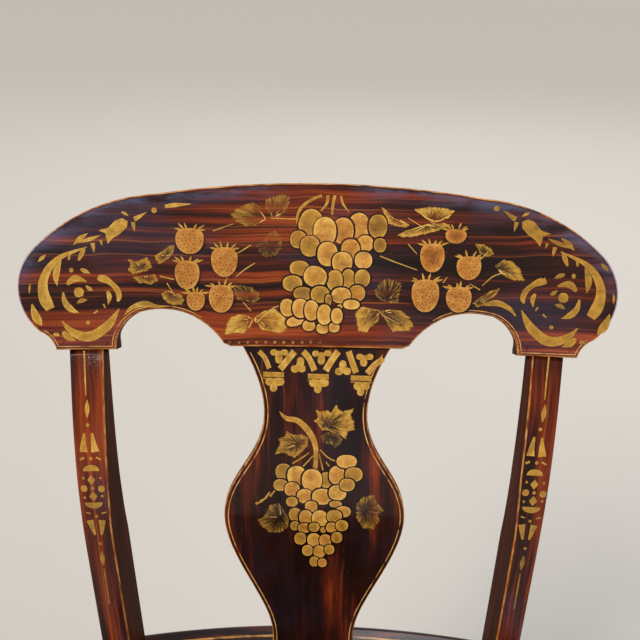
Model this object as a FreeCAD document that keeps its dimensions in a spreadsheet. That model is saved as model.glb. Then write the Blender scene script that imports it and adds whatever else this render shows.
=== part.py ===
import FreeCAD, Part
import Sketcher
import os
import re

vector = FreeCAD.Vector

# Driving sizes in millimetres and degrees
sizes = {
    # seat plank
    "seatHeight": 440,
    "plankThick": 38,
    "seatDepth": 385,
    "seatRear": 152,
    "seatFlare": 22,
    "stileMargin": 16,
    "stileInset": 8,
    "rearBow": 20,
    "frontBow": 16,
    "frontCorner": 38,
    "rearCorner": 12,
    "plankEase": 6,
    "plankEdge": 5,
    "dishDepth": 11,
    "dishMargin": 24,
    "dishShelf": 62,
    # back frame, measured up the front face of a stile
    "stileStraight": 130,
    "bendLength": 140,
    "upperStraight": 30,
    "lowerLean": 5,
    "crestLean": 20,
    "backSplay": 2.5,
    # stiles
    "stileWidth": 24.5,
    "stileFootWidth": 22,
    "stileSeatDepth": 38,
    "stileWaistDepth": 34,
    "stileNeckDepth": 18,
    "stileTopDepth": 14.5,
    "stileRecess": 2,
    "crestTenonWidth": 15,
    "crestTenonThick": 9,
    "crestTenonLength": 30,
    "seatTenonWidth": 15,
    "seatTenonThick": 20,
    "seatTenonLength": 27,
    # crest rail
    "crestWidth": 444,
    "crestHeight": 127,
    "crestThick": 18,
    "crestBow": 880,
    # splat
    "splatWidth": 147,
    "splatThick": 10,
    "splatRecess": 3,
    "splatTongue": 12,
    # legs
    "frontLegInX": 56,
    "frontLegInY": 68,
    "frontLegSplay": 40,
    "frontLegRake": 38,
    "frontLegDia": 38,
    "rearLegInX": 54,
    "rearLegInY": 64,
    "rearLegSplay": 34,
    "rearLegRake": 76,
    "rearLegDia": 33,
    "legTenonDia": 22,
    "wedgeLength": 26,
    "wedgeHead": 3.6,
    "wedgeTip": 0.8,
    "wedgeWidth": 17,
    # stretchers
    "frontStretcherHeight": 222,
    "sideStretcherHeight": 150,
    "rearStretcherHeight": 186,
    "frontStretcherDia": 29,
    "sideStretcherDia": 22,
    "rearStretcherDia": 21,
    "stretcherTenonDia": 14,
    "stretcherPast": 5,
    # pegs
    "pegDia": 6,
    "crestPegRise": 15,
    "crestPegLength": 14.5,
    # glue clearances and the overrun of trims
    "glueGap": 0.1,
    "endGap": 0.4,
    "overrun": 6,
    "trimDepth": 60,
}

doc = FreeCAD.newDocument("StenciledSideChair")
sheet = doc.addObject("Spreadsheet::Sheet", "Sizes")
for row, (alias, value) in enumerate(sizes.items(), 1):
    sheet.set(f"A{row}", alias)
    sheet.set(f"B{row}", str(value))
    sheet.setAlias(f"B{row}", alias)
doc.recompute()


def value(text):
    """the number that an expression of the sheet's sizes gives"""
    number = sheet.evalExpression(text)
    return getattr(number, "Value", number)


def linked(text):
    """the expression with each size name pointed at the sheet"""
    return re.sub(r"\b(?!pi\b)[a-z]\w*\b(?!\()", lambda word: "Sizes." + word.group(), text)


def bind(thing, **fields):
    for field, text in fields.items():
        thing.setExpression(field, linked(text))
    return thing


def times(size, share):
    return f"({size}) * {share}"


def point(x, y, z):
    return f"vector({x}; {y}; {z})"


def turned_place(spot, axis, angle):
    return f"placement({point(*spot)}; rotation({point(*axis)}; {angle}))"


def shifted(x, y, z):
    """a placement that moves without turning"""
    return turned_place((x, y, z), ("0", "0", "1"), "0")


def aimed(start, end):
    """a placement at start whose own Z axis points at end"""
    run = [f"(({far}) - ({near}))" for near, far in zip(start, end)]
    length = f"sqrt({run[0]}^2 + {run[1]}^2 + {run[2]}^2)"
    return turned_place(start, (f"-{run[1]}", run[0], "0"), f"acos({run[2]} / {length})")


def distance(start, end):
    runs = " + ".join(f"(({far}) - ({near}))^2" for near, far in zip(start, end))
    return f"sqrt({runs})"


def origin_plane(body, role):
    return next(plane for plane in body.Origin.OriginFeatures if plane.Role == role)


def draw(body, name, plane, *loops):
    """A sketch of closed loops. A corner is (across, up), or (across, up, bulge) where an arc
    with that sagitta, outward when positive, runs to it from the corner before, or
    (across, up, points) where a smooth curve runs to it through the points."""
    sketch = body.newObject("Sketcher::SketchObject", name)
    sketch.AttachmentSupport = [(origin_plane(body, plane), "")]
    sketch.MapMode = "FlatFace"
    for corners in loops:
        first = sketch.GeometryCount
        spots = [vector(value(corner[0]), value(corner[1]), 0) for corner in corners]
        for index, corner in enumerate(corners):
            start = spots[index - 1]
            end = spots[index]
            if len(corner) == 2:
                edge = Part.LineSegment(start, end)
            elif isinstance(corner[2], list):
                edge = Part.BSplineCurve()
                through = [vector(value(x), value(y), 0) for x, y in corner[2]]
                edge.interpolate([start, *through, end])
            else:
                run = end - start
                outward = vector(run.y, -run.x, 0).normalize()
                edge = Part.Arc(start, (start + end) / 2 + outward * value(corner[2]), end)
            sketch.addGeometry(edge, False)
        for index, corner in enumerate(corners):
            edge = first + index
            onward = first + (index + 1) % len(corners)
            # a circle's arc runs anticlockwise, so an inward arc ends at its own start
            closes = 1 if ends_at_start(sketch, edge, spots[index]) else 2
            opens = 2 if ends_at_start(sketch, onward, spots[(index + 1) % len(corners)]) else 1
            sketch.addConstraint(Sketcher.Constraint("Coincident", edge, closes, onward, opens))
            for kind, text in (("DistanceX", corner[0]), ("DistanceY", corner[1])):
                number = sketch.addConstraint(Sketcher.Constraint(kind, edge, closes, value(text)))
                sketch.setExpression(f"Constraints[{number}]", linked(text))
    return sketch


def ends_at_start(sketch, edge, spot):
    return sketch.getPoint(edge, 1).distanceToPoint(spot) < sketch.getPoint(edge, 2).distanceToPoint(spot)


def mirrored(corners, crossing=None):
    """a right half, bottom to top, and its mirror image back down"""
    far = []
    for index in range(len(corners) - 1, -1, -1):
        across, up = corners[index][:2]
        after = corners[index + 1] if index + 1 < len(corners) else None
        bend = crossing if after is None else (after[2] if len(after) == 3 else None)
        if isinstance(bend, list):
            bend = [(f"-({x})", y) for x, y in reversed(bend)]
        far.append((f"-({across})", up) if bend is None else (f"-({across})", up, bend))
    return [corners[0][:2], *corners[1:], *far]


def new_body(name):
    return doc.addObject("PartDesign::Body", name)


def pad(body, sketch, name, length):
    solid = body.newObject("PartDesign::Pad", name)
    solid.Profile = sketch
    solid.Midplane = True
    return bind(solid, Length=length)


def pocket_through(body, sketch, name):
    sawn = body.newObject("PartDesign::Pocket", name)
    sawn.Profile = sketch
    sawn.Type = "ThroughAll"
    sawn.Midplane = True
    return sawn


def ease_edges(body, name, wanted, **reach):
    """a fillet of a Radius, or a chamfer of a Size, on the edges of the body's tip that the test picks"""
    doc.recompute()
    base = body.Tip
    names = [f"Edge{n}" for n, edge in enumerate(base.Shape.Edges, 1) if wanted(edge)]
    eased = body.newObject("PartDesign::Fillet" if "Radius" in reach else "PartDesign::Chamfer", name)
    eased.Base = (base, names)
    return bind(eased, **reach)


def cylinder(name, dia, height, place):
    rod = doc.addObject("Part::Cylinder", name)
    return bind(rod, Radius=f"({dia}) / 2", Height=height, Placement=place)


def box(name, length, width, height, place):
    block = doc.addObject("Part::Box", name)
    return bind(block, Length=length, Width=width, Height=height, Placement=place)


def tenon_block(name, width, thick, height, place):
    """a squared block whose own Z axis runs up its middle"""
    return box(name, width, thick, height, f"{place} * " + shifted(f"-({width}) / 2", f"-({thick}) / 2", "0"))


def fused(name, shapes, label=None):
    whole = doc.addObject("Part::MultiFuse", name)
    whole.Shapes = shapes
    whole.Label = label or name
    return whole


def cut(name, base, tools, label=None):
    piece = doc.addObject("Part::Cut", name)
    piece.Base = base
    piece.Tool = tools[0] if len(tools) == 1 else fused(name + "Tools", tools)
    piece.Label = label or name
    return piece


# Where the back stands: its front line leaves the seat, bends and meets the crest
bendRadius = "(bendLength * 180 / pi / (crestLean - lowerLean))"
bendBack = f"(stileStraight * sin(lowerLean) + {bendRadius} * (cos(lowerLean) - cos(crestLean)))"
bendRise = f"(stileStraight * cos(lowerLean) + {bendRadius} * (sin(crestLean) - sin(lowerLean)))"
footBack = f"({bendBack} + upperStraight * sin(crestLean))"
footRise = f"({bendRise} + upperStraight * cos(crestLean))"
footInShare = 0.691
footOutShare = 0.885
footX = times("crestWidth / 2", (footInShare + footOutShare) / 2)
stileX = f"({footX} - {footRise} * sin(backSplay))"
backY = "(seatRear - stileInset - stileSeatDepth - stileRecess)"
crestY = f"({backY} + {footBack})"
crestZ = f"(seatHeight + {footRise} * cos(backSplay))"
crestPlace = turned_place(("0", crestY, crestZ), ("1", "0", "0"), "-crestLean")
# the crest's front face stands this far back at its middle, behind its feet
crestSag = f"(crestBow - sqrt(crestBow^2 - ({footX})^2))"
rearHalf = f"({stileX} + stileFootWidth / 2 + stileMargin)"
frontHalf = f"({rearHalf} + seatFlare)"
seatFront = "(seatRear - seatDepth)"

# Shared trims: the ground, the space above the seat and the saddle of the seat
ground = box("Ground", "2 * crestWidth", "4 * seatDepth", "trimDepth",
             shifted("-crestWidth", "-2 * seatDepth", "-trimDepth"))
aboveSeat = box("AboveSeat", "2 * crestWidth", "4 * seatDepth", "trimDepth",
                shifted("-crestWidth", "-2 * seatDepth", "seatHeight"))
belowSeat = box("BelowSeat", "2 * crestWidth", "4 * seatDepth", "trimDepth",
                shifted("-crestWidth", "-2 * seatDepth", "seatHeight - trimDepth"))
# the saddle is the underside of a great sphere that meets the seat's top at this radius
dishRim = "((seatDepth - dishShelf - dishMargin) / 2)"
dishRadius = f"(({dishRim}^2 + dishDepth^2) / (2 * dishDepth))"
dish = doc.addObject("Part::Sphere", "Dish")
bind(dish, Radius=dishRadius,
     Placement=turned_place(("0", f"{seatFront} + dishMargin + {dishRim}",
                             f"seatHeight - dishDepth + {dishRadius}"), ("1", "0", "0"), "90"))


# Crest rail: sawn to its bow from a thick board, then to its outline
footDropShare = -0.020
crestShares = [
    (0.304, 0.000), (0.326, 0.018, -0.002), (0.450, 0.198, -0.020), (0.615, 0.205, -0.024),
    (footInShare, footDropShare, -0.041), (footOutShare, footDropShare), (0.935, 0.089, -0.017),
    (0.941, 0.606, 0.113), (0.565, 0.917, 0.066),
]
topBulgeShare = 0.085


def crest_rail():
    body = new_body("CrestRail")
    half = [tuple(times(size, share) for size, share in zip(("crestWidth / 2", "crestHeight", "crestHeight"), row))
            for row in crestShares]
    outline = draw(body, "CrestOutline", "XZ_Plane", mirrored(half, times("crestHeight", topBulgeShare)))
    pad(body, outline, "CrestBoard", "4 * (crestThick + overrun)")
    side = "(crestWidth / 2 + overrun)"
    reach = "(2 * (crestThick + overrun) + overrun)"
    for name, radius, level, sign in (("CrestFront", "crestBow", crestSag, "-"),
                                      ("CrestBack", "(crestBow + crestThick)", f"({crestSag} + crestThick)", "")):
        end = f"({level} - {radius} + sqrt({radius}^2 - {side}^2))"
        sag = f"({level} - {end})"
        if sign:
            loop = [(f"-{side}", f"-{reach}"), (side, f"-{reach}"), (side, end), (f"-{side}", end, sag)]
        else:
            loop = [(side, end, f"-({sag})"), (side, reach), (f"-{side}", reach), (f"-{side}", end)]
        pocket_through(body, draw(body, name + "Saw", "XY_Plane", loop), name)
    bind(body, Placement=crestPlace)
    return body


# Stiles: sawn to a bend, deeper towards the seat, tapered in width, squared tenons at both ends
def lean_point(back, rise, lean, run, depth):
    """a point run past (back, rise) up a line that leans, and depth behind it"""
    return (f"{back} + ({run}) * sin({lean}) + ({depth}) * cos({lean})",
            f"{rise} + ({run}) * cos({lean}) - ({depth}) * sin({lean})")


def stile(side, sign):
    name = "Stile" + side.capitalize()
    body = new_body(name + "Board")
    lower = ("0", "0", "lowerLean")
    upper = (bendBack, bendRise, "crestLean")
    middleLean = "((crestLean + lowerLean) / 2)"
    middle = (f"(stileStraight * sin(lowerLean) + {bendRadius} * (cos(lowerLean) - cos{middleLean}))",
              f"(stileStraight * cos(lowerLean) + {bendRadius} * (sin{middleLean} - sin(lowerLean)))", middleLean)
    bendSag = f"({bendRadius} * (1 - cos((crestLean - lowerLean) / 2)))"
    backLine = [
        lean_point(*lower, "0", "stileSeatDepth"),
        lean_point(*lower, "stileStraight * 0.5", "(stileSeatDepth + stileWaistDepth) / 2"),
        lean_point(*lower, "stileStraight", "stileWaistDepth"),
        lean_point(*middle, "0", "(stileWaistDepth + stileNeckDepth) / 2"),
        lean_point(*upper, "0", "stileNeckDepth"),
    ]
    top = "upperStraight + overrun"
    profile = [
        lean_point(*lower, "-overrun", "0"),
        lean_point(*lower, "-overrun", "stileSeatDepth"),
        (*lean_point(*upper, top, "stileTopDepth"), backLine),
        lean_point(*upper, top, "0"),
        lean_point(*upper, "0", "0"),
        (*lean_point(*lower, "stileStraight", "0"), bendSag),
    ]
    pad(body, draw(body, name + "Side", "YZ_Plane", profile), name + "Blank", "stileWidth")
    top = f"({footRise} + overrun)"
    wide = "(stileWidth / 2)"
    taper = f"((stileWidth - stileFootWidth) / 2 * (1 + 3 * overrun / {footRise}))"
    shaving = [(f"{wide} - {taper}", "-3 * overrun"), (f"{wide} + overrun", "-3 * overrun"),
               (f"{wide} + overrun", top), (wide, top)]
    other = [(f"-({across})", up) for across, up in reversed(shaving)]
    pocket_through(body, draw(body, name + "Shaving", "XZ_Plane", shaving, other), name + "Taper")

    spot = (f"{sign}{stileX}", f"{backY} + stileRecess", "seatHeight")
    place = turned_place(spot, ("0", "1", "0"), f"{sign}backSplay")
    bind(body, Placement=place)
    crestTrim = box(name + "CrestTrim", "crestWidth", "4 * crestThick", "trimDepth",
                    f"{crestPlace} * " + shifted("-crestWidth / 2", "-2 * crestThick",
                                                 times("crestHeight", footDropShare)))
    shouldered = cut(name + "Shouldered", body, [belowSeat, crestTrim])
    crestTenon = tenon_block(name + "CrestTenon", "crestTenonWidth", "crestTenonThick",
                             "crestTenonLength + overrun", crest_tenon_place(name))
    seatTenon = tenon_block(name + "SeatTenon", "seatTenonWidth", "seatTenonThick",
                            "seatTenonLength + overrun", seat_tenon_place(name))
    whole = fused(name + "Whole", [shouldered, crestTenon, seatTenon])
    return whole


def crest_tenon_place(name):
    spot = lean_point(bendBack, bendRise, "crestLean", "upperStraight - overrun", "stileTopDepth / 2")
    return f"{name}Board.Placement * " + turned_place(("0", *spot), ("1", "0", "0"), "-crestLean")


def seat_tenon_place(name, more="0"):
    spot = lean_point("0", "0", "lowerLean", f"-seatTenonLength - ({more})", "stileSeatDepth / 2")
    return f"{name}Board.Placement * " + turned_place(("0", *spot), ("1", "0", "0"), "-lowerLean")


# Splat: a thin board on the same bend, sawn to a vase, with a tongue at each end
splatShares = [
    (0.477, 0.080), (0.491, 0.150), (0.628, 0.250), (0.846, 0.370), (0.981, 0.4745), (1.000, 0.513),
    (0.937, 0.602), (0.757, 0.6825), (0.598, 0.762), (0.559, 0.822), (0.606, 0.897), (0.673, 0.941),
]
splatFootShare = 0.546
splatTopShare = 0.798
splatSet = f"({crestSag} + splatRecess)"
splatY = f"({backY} + {splatSet} * cos(crestLean))"
splatDrop = f"({splatSet} * sin(crestLean))"
splatRise = f"({footRise} * cos(backSplay) - {splatDrop})"


def splat():
    body = new_body("Splat")
    lower = ("0", f"-{splatDrop}", "lowerLean")
    upper = (bendBack, f"{bendRise} - {splatDrop}", "crestLean")
    bendSag = "((1 - cos((crestLean - lowerLean) / 2)))"
    under = f"(splatTongue - {splatDrop}) / cos(lowerLean)"
    over = "upperStraight + splatTongue"
    profile = [
        lean_point(*lower, f"-{under}", "0"),
        lean_point(*lower, f"-{under}", "splatThick"),
        lean_point(*lower, "stileStraight", "splatThick"),
        (*lean_point(*upper, "0", "splatThick"), f"-({bendRadius} - splatThick) * {bendSag}"),
        lean_point(*upper, over, "splatThick"),
        lean_point(*upper, over, "0"),
        lean_point(*upper, "0", "0"),
        (*lean_point(*lower, "stileStraight", "0"), f"{bendRadius} * {bendSag}"),
    ]
    pad(body, draw(body, "SplatSide", "YZ_Plane", profile), "SplatBoard", "splatWidth + 2 * overrun")
    half = "splatWidth / 2"
    curve = [(times(half, across), times(splatRise, up)) for across, up in splatShares]
    foot = times(half, splatFootShare)
    top = times(half, splatTopShare)
    right = [(foot, "-2 * splatTongue"), (foot, "0"), (top, splatRise, curve), (top, f"{splatRise} + 2 * splatTongue")]
    frame = "(splatWidth / 2 + 2 * overrun)"
    rim = [(f"-{frame}", "-3 * splatTongue"), (frame, "-3 * splatTongue"),
           (frame, f"{splatRise} + 3 * splatTongue"), (f"-{frame}", f"{splatRise} + 3 * splatTongue")]
    pocket_through(body, draw(body, "SplatVase", "XZ_Plane", rim, mirrored(right)), "SplatSawn")
    return bind(body, Placement=shifted("0", splatY, "seatHeight"))


# Turned pieces: a profile of (height, radius) or (height, radius, bulge) about the piece's own Z axis
def turned(name, profile, place):
    body = new_body(name)
    corners = [(radius, height, *bulge) for height, radius, *bulge in profile]
    loop = [("0", profile[0][0]), *corners, ("0", profile[-1][0])]
    revolution = body.newObject("PartDesign::Revolution", name + "Turned")
    sketch = draw(body, name + "Profile", "XZ_Plane", loop)
    revolution.Profile = sketch
    revolution.ReferenceAxis = (sketch, ["V_Axis"])
    revolution.Angle = 360
    body.Tip = revolution
    return bind(body, Placement=place)


def profiled(length, radius, shares):
    """rows of (length share, radius share, radius share of the bulge that leads to it) in lengths"""
    return [(times(length, up), *(times(radius, share) for share in row)) for up, *row in shares]


# from the ground to the neck, where the tenon's own width starts
frontLegShares = [
    (0.085, 0.600), (0.105, 0.760), (0.612, 0.760), (0.618, 0.640), (0.655, 1.000), (0.750, 1.000),
]
frontNeckShare = 0.800
rearLegShares = [(0.065, 0.700), (0.085, 0.960), (0.895, 0.960)]
rearNeckShare = 0.920


def leg_points(sign, inX, inY, splay, rake, front):
    if front:
        across = f"({frontHalf} - {inX})"
        deep = f"({seatFront} + {inY})"
        rake = f"-{rake}"
    else:
        across = f"({rearHalf} - {inX})"
        deep = f"(seatRear - {inY})"
    top = (f"{sign}{across}", deep, "seatHeight")
    foot = (f"{sign}({across} + {splay})", f"({deep} + {rake})", "0")
    return foot, top


legs = {}
for side, sign in (("left", "-"), ("right", "")):
    legs["front", side] = leg_points(sign, "frontLegInX", "frontLegInY", "frontLegSplay", "frontLegRake", True)
    legs["rear", side] = leg_points(sign, "rearLegInX", "rearLegInY", "rearLegSplay", "rearLegRake", False)


def on_leg(end, side, height):
    """where a leg's axis stands at a height above the ground"""
    foot, top = legs[end, side]
    return tuple(f"({low} + (({high}) - ({low})) * {height} / seatHeight)" for low, high in zip(foot[:2], top[:2])) \
        + (height,)


def leg_body(end, side, dia, shares, neckShare):
    foot, top = legs[end, side]
    length = distance(foot, top)
    clear = f"({length} * (seatHeight - plankThick) / seatHeight)"
    radius = f"({dia} / 2)"
    profile = [("-overrun", times(radius, shares[0][1])), *profiled(clear, radius, shares),
               (times(clear, neckShare), "legTenonDia / 2"), (f"{length} + overrun", "legTenonDia / 2")]
    return turned(end.capitalize() + "Leg" + side.capitalize(), profile, aimed(foot, top))


def leg_wedge(end, side):
    """a hardwood wedge driven into the tenon's kerf, its broad way across the seat's grain"""
    name = end.capitalize() + "Leg" + side.capitalize()
    length = distance(*legs[end, side])
    wedge = doc.addObject("Part::Wedge", name + "Wedge")
    bind(wedge, Ymin="0", Ymax="wedgeLength + overrun",
         Xmin="-wedgeTip / 2", Xmax="wedgeTip / 2",
         X2min="-wedgeHead / 2", X2max="wedgeHead / 2",
         Zmin="-wedgeWidth / 2", Zmax="wedgeWidth / 2", Z2min="-wedgeWidth / 2", Z2max="wedgeWidth / 2",
         Placement=f"{name}.Placement * " + turned_place(("0", "0", f"{length} - wedgeLength"), ("1", "0", "0"), "90"))
    return wedge


# Stretchers: half of the profile, from the tenon's shoulder in to the middle
shoulderShare = 0.440
frontStretcherShares = [(0.430, 0.760), (0.184, 0.760), (0.178, 0.620), (0.154, 1.000)]
plainShares = [(0.430, 1.000)]


def stretcher(name, start, end, dia, shares):
    span = distance(start, end)
    tenon = "stretcherTenonDia / 2"
    half = [(f"{span} / 2 + stretcherPast", tenon), (times(span, shoulderShare), tenon),
            *profiled(span, f"({dia} / 2)", shares)]
    return turned(name, mirrored(half), f"{aimed(start, end)} * " + shifted("0", "0", f"{span} / 2"))


def stretcher_sockets(name, start, end):
    """the two round sockets that a stretcher's ends are glued into"""
    dia = "stretcherTenonDia + 2 * glueGap"
    shoulder = times(distance(start, end), shoulderShare)
    end = f"{distance(start, end)} / 2 + stretcherPast + endGap"
    return [cylinder(name + which + "Socket", dia, f"{end} - {shoulder}",
                     f"{name}.Placement * " + shifted("0", "0", spot))
            for which, spot in (("Start", f"-({end})"), ("End", shoulder))]


# Seat plank: shaped edges, a saddled top, and sockets for everything that stands on it or under it
def plank_body():
    body = new_body("PlankBoard")
    right = [(frontHalf, f"{seatFront} + frontBow"), (rearHalf, "seatRear")]
    loop = mirrored(right, "rearBow")
    loop[0] = (*loop[0], "frontBow")
    pad(body, draw(body, "PlankOutline", "XY_Plane", loop), "PlankSlab", "plankThick")

    def upright(edge, front):
        ends = edge.Vertexes
        return abs(ends[0].Z - ends[-1].Z) > value("plankThick / 2") and (ends[0].Y < 0) == front

    def at_level(edge, level):
        return all(abs(vertex.Z - level) < value("plankEdge / 10") for vertex in edge.Vertexes)

    ease_edges(body, "FrontCorners", lambda edge: upright(edge, True), Radius="frontCorner")
    ease_edges(body, "RearCorners", lambda edge: upright(edge, False), Radius="rearCorner")
    ease_edges(body, "TopEdge", lambda edge: at_level(edge, value("plankThick / 2")), Size="plankEase")
    ease_edges(body, "UnderEdge", lambda edge: at_level(edge, value("-plankThick / 2")), Size="plankEdge")
    return bind(body, Placement=shifted("0", "0", "seatHeight - plankThick / 2"))


crestBody = crest_rail()
doc.recompute()
splatBody = splat()
stiles = {side: stile(side, sign) for side, sign in (("left", "-"), ("right", ""))}
legBodies = {}
for side in ("left", "right"):
    legBodies["front", side] = leg_body("front", side, "frontLegDia", frontLegShares, frontNeckShare)
    legBodies["rear", side] = leg_body("rear", side, "rearLegDia", rearLegShares, rearNeckShare)

# Stretchers and the sockets that they need, filed under the leg that holds each
runs = {
    "front_stretcher": (("front", "left"), ("front", "right"), "frontStretcherHeight", "frontStretcherDia",
                        frontStretcherShares),
    "side_stretcher_left": (("front", "left"), ("rear", "left"), "sideStretcherHeight", "sideStretcherDia",
                            plainShares),
    "side_stretcher_right": (("front", "right"), ("rear", "right"), "sideStretcherHeight", "sideStretcherDia",
                             plainShares),
    "rear_stretcher": (("rear", "left"), ("rear", "right"), "rearStretcherHeight", "rearStretcherDia",
                       plainShares),
}
sockets = {place: [] for place in legs}
subparts = []
for label, (first, last, height, dia, shares) in runs.items():
    name = "".join(word.capitalize() for word in label.split("_"))
    start = on_leg(*first, height)
    end = on_leg(*last, height)
    rung = stretcher(name, start, end, dia, shares)
    rung.Label = label
    subparts.append(rung)
    near, far = stretcher_sockets(name, start, end)
    sockets[first].append(near)
    sockets[last].append(far)

wedges = {place: leg_wedge(*place) for place in legs}
for place, body in legBodies.items():
    end, side = place
    subparts.append(cut(body.Name + "Fitted", body, [ground, aboveSeat, wedges[place], *sockets[place]],
                        f"{end}_leg_{side}"))
subparts.append(cut("LegWedges", fused("WedgeSet", list(wedges.values())), [aboveSeat], "leg_wedges"))

# Two pegs through the backs of the crest's feet
holes = []
rods = []
for side, sign in (("Left", "-"), ("Right", "")):
    spot = (f"{sign}({footX} + crestPegRise * tan(backSplay))", "crestThick - crestPegLength", "crestPegRise")
    place = f"{crestPlace} * " + turned_place(spot, ("1", "0", "0"), "-90")
    holes.append(cylinder(f"Crest{side}PegHole", "pegDia + 2 * glueGap", "crestPegLength + overrun", place))
    rods.append(cylinder(f"Crest{side}Peg", "pegDia", "crestPegLength", place))
subparts.append(fused("CrestPegs", rods, "crest_pegs"))

for (side, whole), hole in zip(stiles.items(), holes):
    subparts.append(cut("Stile" + side.capitalize(), whole, [hole], f"stile_{side}"))

# the splat's tongue is as wide as the board, so the crest and the plank are grooved to take it
splatBody.Label = "splat"
subparts.append(splatBody)
tongueWide = f"(splatWidth * {splatTopShare} + 2 * glueGap)"
footWide = f"(splatWidth * {splatFootShare} + 2 * glueGap)"
tongueThick = "(splatThick + 2 * glueGap)"
crestGroove = box("CrestGroove", tongueWide, tongueThick, "splatTongue + endGap + overrun",
                  f"{crestPlace} * " + shifted(f"-{tongueWide} / 2", f"{splatSet} - glueGap", "-overrun"))
seatGroove = box("SeatGroove", footWide, tongueThick, "splatTongue + endGap + overrun",
                 f"Splat.Placement * placement(vector(0; 0; -{splatDrop}); rotation(vector(1; 0; 0); -lowerLean)) * "
                 + shifted(f"-{footWide} / 2", "-glueGap",
                           f"-(splatTongue - {splatDrop}) / cos(lowerLean) - endGap"))
crestMortises = [tenon_block(f"Crest{side}Mortise", "crestTenonWidth + 2 * glueGap", "crestTenonThick + 2 * glueGap",
                             "crestTenonLength + overrun + endGap", crest_tenon_place("Stile" + side))
                 for side in ("Left", "Right")]
subparts.append(cut("CrestFitted", crestBody, [crestGroove, *crestMortises, *holes], "crest_rail"))

seatSockets = [tenon_block(f"Seat{side}Mortise", "seatTenonWidth + 2 * glueGap", "seatTenonThick + 2 * glueGap",
                           "seatTenonLength + overrun + endGap", seat_tenon_place("Stile" + side, "endGap"))
               for side in ("Left", "Right")]
for place, (foot, top) in legs.items():
    name = "".join(word.capitalize() for word in place)
    length = distance(foot, top)
    seatSockets.append(cylinder(f"Seat{name}Socket", "legTenonDia + 2 * glueGap", "plankThick * 2 + overrun",
                                f"{aimed(foot, top)} * " + shifted("0", "0", f"{length} - plankThick * 2")))
plank = cut("SeatPlank", plank_body(), [dish, seatGroove, *seatSockets], "seat_plank")
subparts.append(plank)

doc.recompute()
for thing in doc.Objects:
    if {"Invalid", "Error"} & set(thing.State):
        raise RuntimeError(f"{thing.Name} failed: {thing.State}")
for piece in subparts:
    if piece.Shape.isNull() or not piece.Shape.isValid():
        raise RuntimeError(f"{piece.Label} has no valid shape")

os.makedirs("parts", exist_ok=True)
for piece in subparts:
    piece.Shape.exportStep(f"parts/{piece.Label}.step")
    print(f"{piece.Label}: {len(piece.Shape.Solids)} solid(s), {piece.Shape.Volume / 1000:.1f} cm3")
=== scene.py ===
import bpy
import bmesh
import math
import random
from functools import partial
from mathutils import Matrix, Vector


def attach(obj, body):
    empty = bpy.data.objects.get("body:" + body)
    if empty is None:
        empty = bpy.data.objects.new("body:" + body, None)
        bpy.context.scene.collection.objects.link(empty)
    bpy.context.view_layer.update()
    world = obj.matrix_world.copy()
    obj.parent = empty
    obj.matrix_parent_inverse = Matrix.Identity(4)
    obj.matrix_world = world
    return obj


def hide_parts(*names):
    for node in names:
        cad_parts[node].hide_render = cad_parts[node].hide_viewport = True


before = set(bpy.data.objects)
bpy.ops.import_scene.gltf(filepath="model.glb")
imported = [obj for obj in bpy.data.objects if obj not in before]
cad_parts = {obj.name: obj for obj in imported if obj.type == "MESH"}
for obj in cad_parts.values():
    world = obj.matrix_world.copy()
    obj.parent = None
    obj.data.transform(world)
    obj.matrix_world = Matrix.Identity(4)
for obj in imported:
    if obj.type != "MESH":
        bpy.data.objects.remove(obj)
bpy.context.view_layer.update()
random.seed(1840)
mm = 0.001

# the back's set-out in millimetres and degrees, as the frame has it
back = {
    "seatHeight": 440, "backY": 104, "stileRecess": 2, "lowerLean": 5, "crestLean": 20, "stileStraight": 130,
    "bendLength": 140, "upperStraight": 30, "splay": 2.5,
    "crestWidth": 444, "crestHeight": 127, "crestThick": 18, "crestBow": 880,
    "footInShare": 0.691, "footOutShare": 0.885,
    "splatWidth": 147, "splatThick": 10, "splatRecess": 3,
}
low = math.radians(back["lowerLean"])
high = math.radians(back["crestLean"])
bendRadius = back["bendLength"] / (high - low)
bendStart = (back["stileStraight"] * math.sin(low), back["stileStraight"] * math.cos(low))
bendCentre = (bendStart[0] + bendRadius * math.cos(low), bendStart[1] - bendRadius * math.sin(low))
bendEnd = (bendCentre[0] - bendRadius * math.cos(high), bendCentre[1] + bendRadius * math.sin(high))
footBack = bendEnd[0] + back["upperStraight"] * math.sin(high)
footRise = bendEnd[1] + back["upperStraight"] * math.cos(high)
splay = math.radians(back["splay"])
footX = back["crestWidth"] / 2 * (back["footInShare"] + back["footOutShare"]) / 2
stileX = footX - footRise * math.sin(splay)
crestY = back["backY"] + footBack
crestZ = back["seatHeight"] + footRise * math.cos(splay)
crestSag = back["crestBow"] - math.sqrt(back["crestBow"] ** 2 - footX ** 2)
splatSet = crestSag + back["splatRecess"]
splatY = back["backY"] + splatSet * math.cos(high)
splatDrop = splatSet * math.sin(high)


def bentPath(s, depth=0):  # a point s up the bent front line and depth behind it, as (back, rise)
    if s < back["stileStraight"]:
        lean = low
        start = (s * math.sin(low), s * math.cos(low))
    elif s < back["stileStraight"] + back["bendLength"]:
        lean = low + (s - back["stileStraight"]) / bendRadius
        start = (bendCentre[0] - bendRadius * math.cos(lean), bendCentre[1] + bendRadius * math.sin(lean))
    else:
        lean = high
        run = s - back["stileStraight"] - back["bendLength"]
        start = (bendEnd[0] + run * math.sin(high), bendEnd[1] + run * math.cos(high))
    return start[0] + depth * math.cos(lean), start[1] - depth * math.sin(lean)


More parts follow.
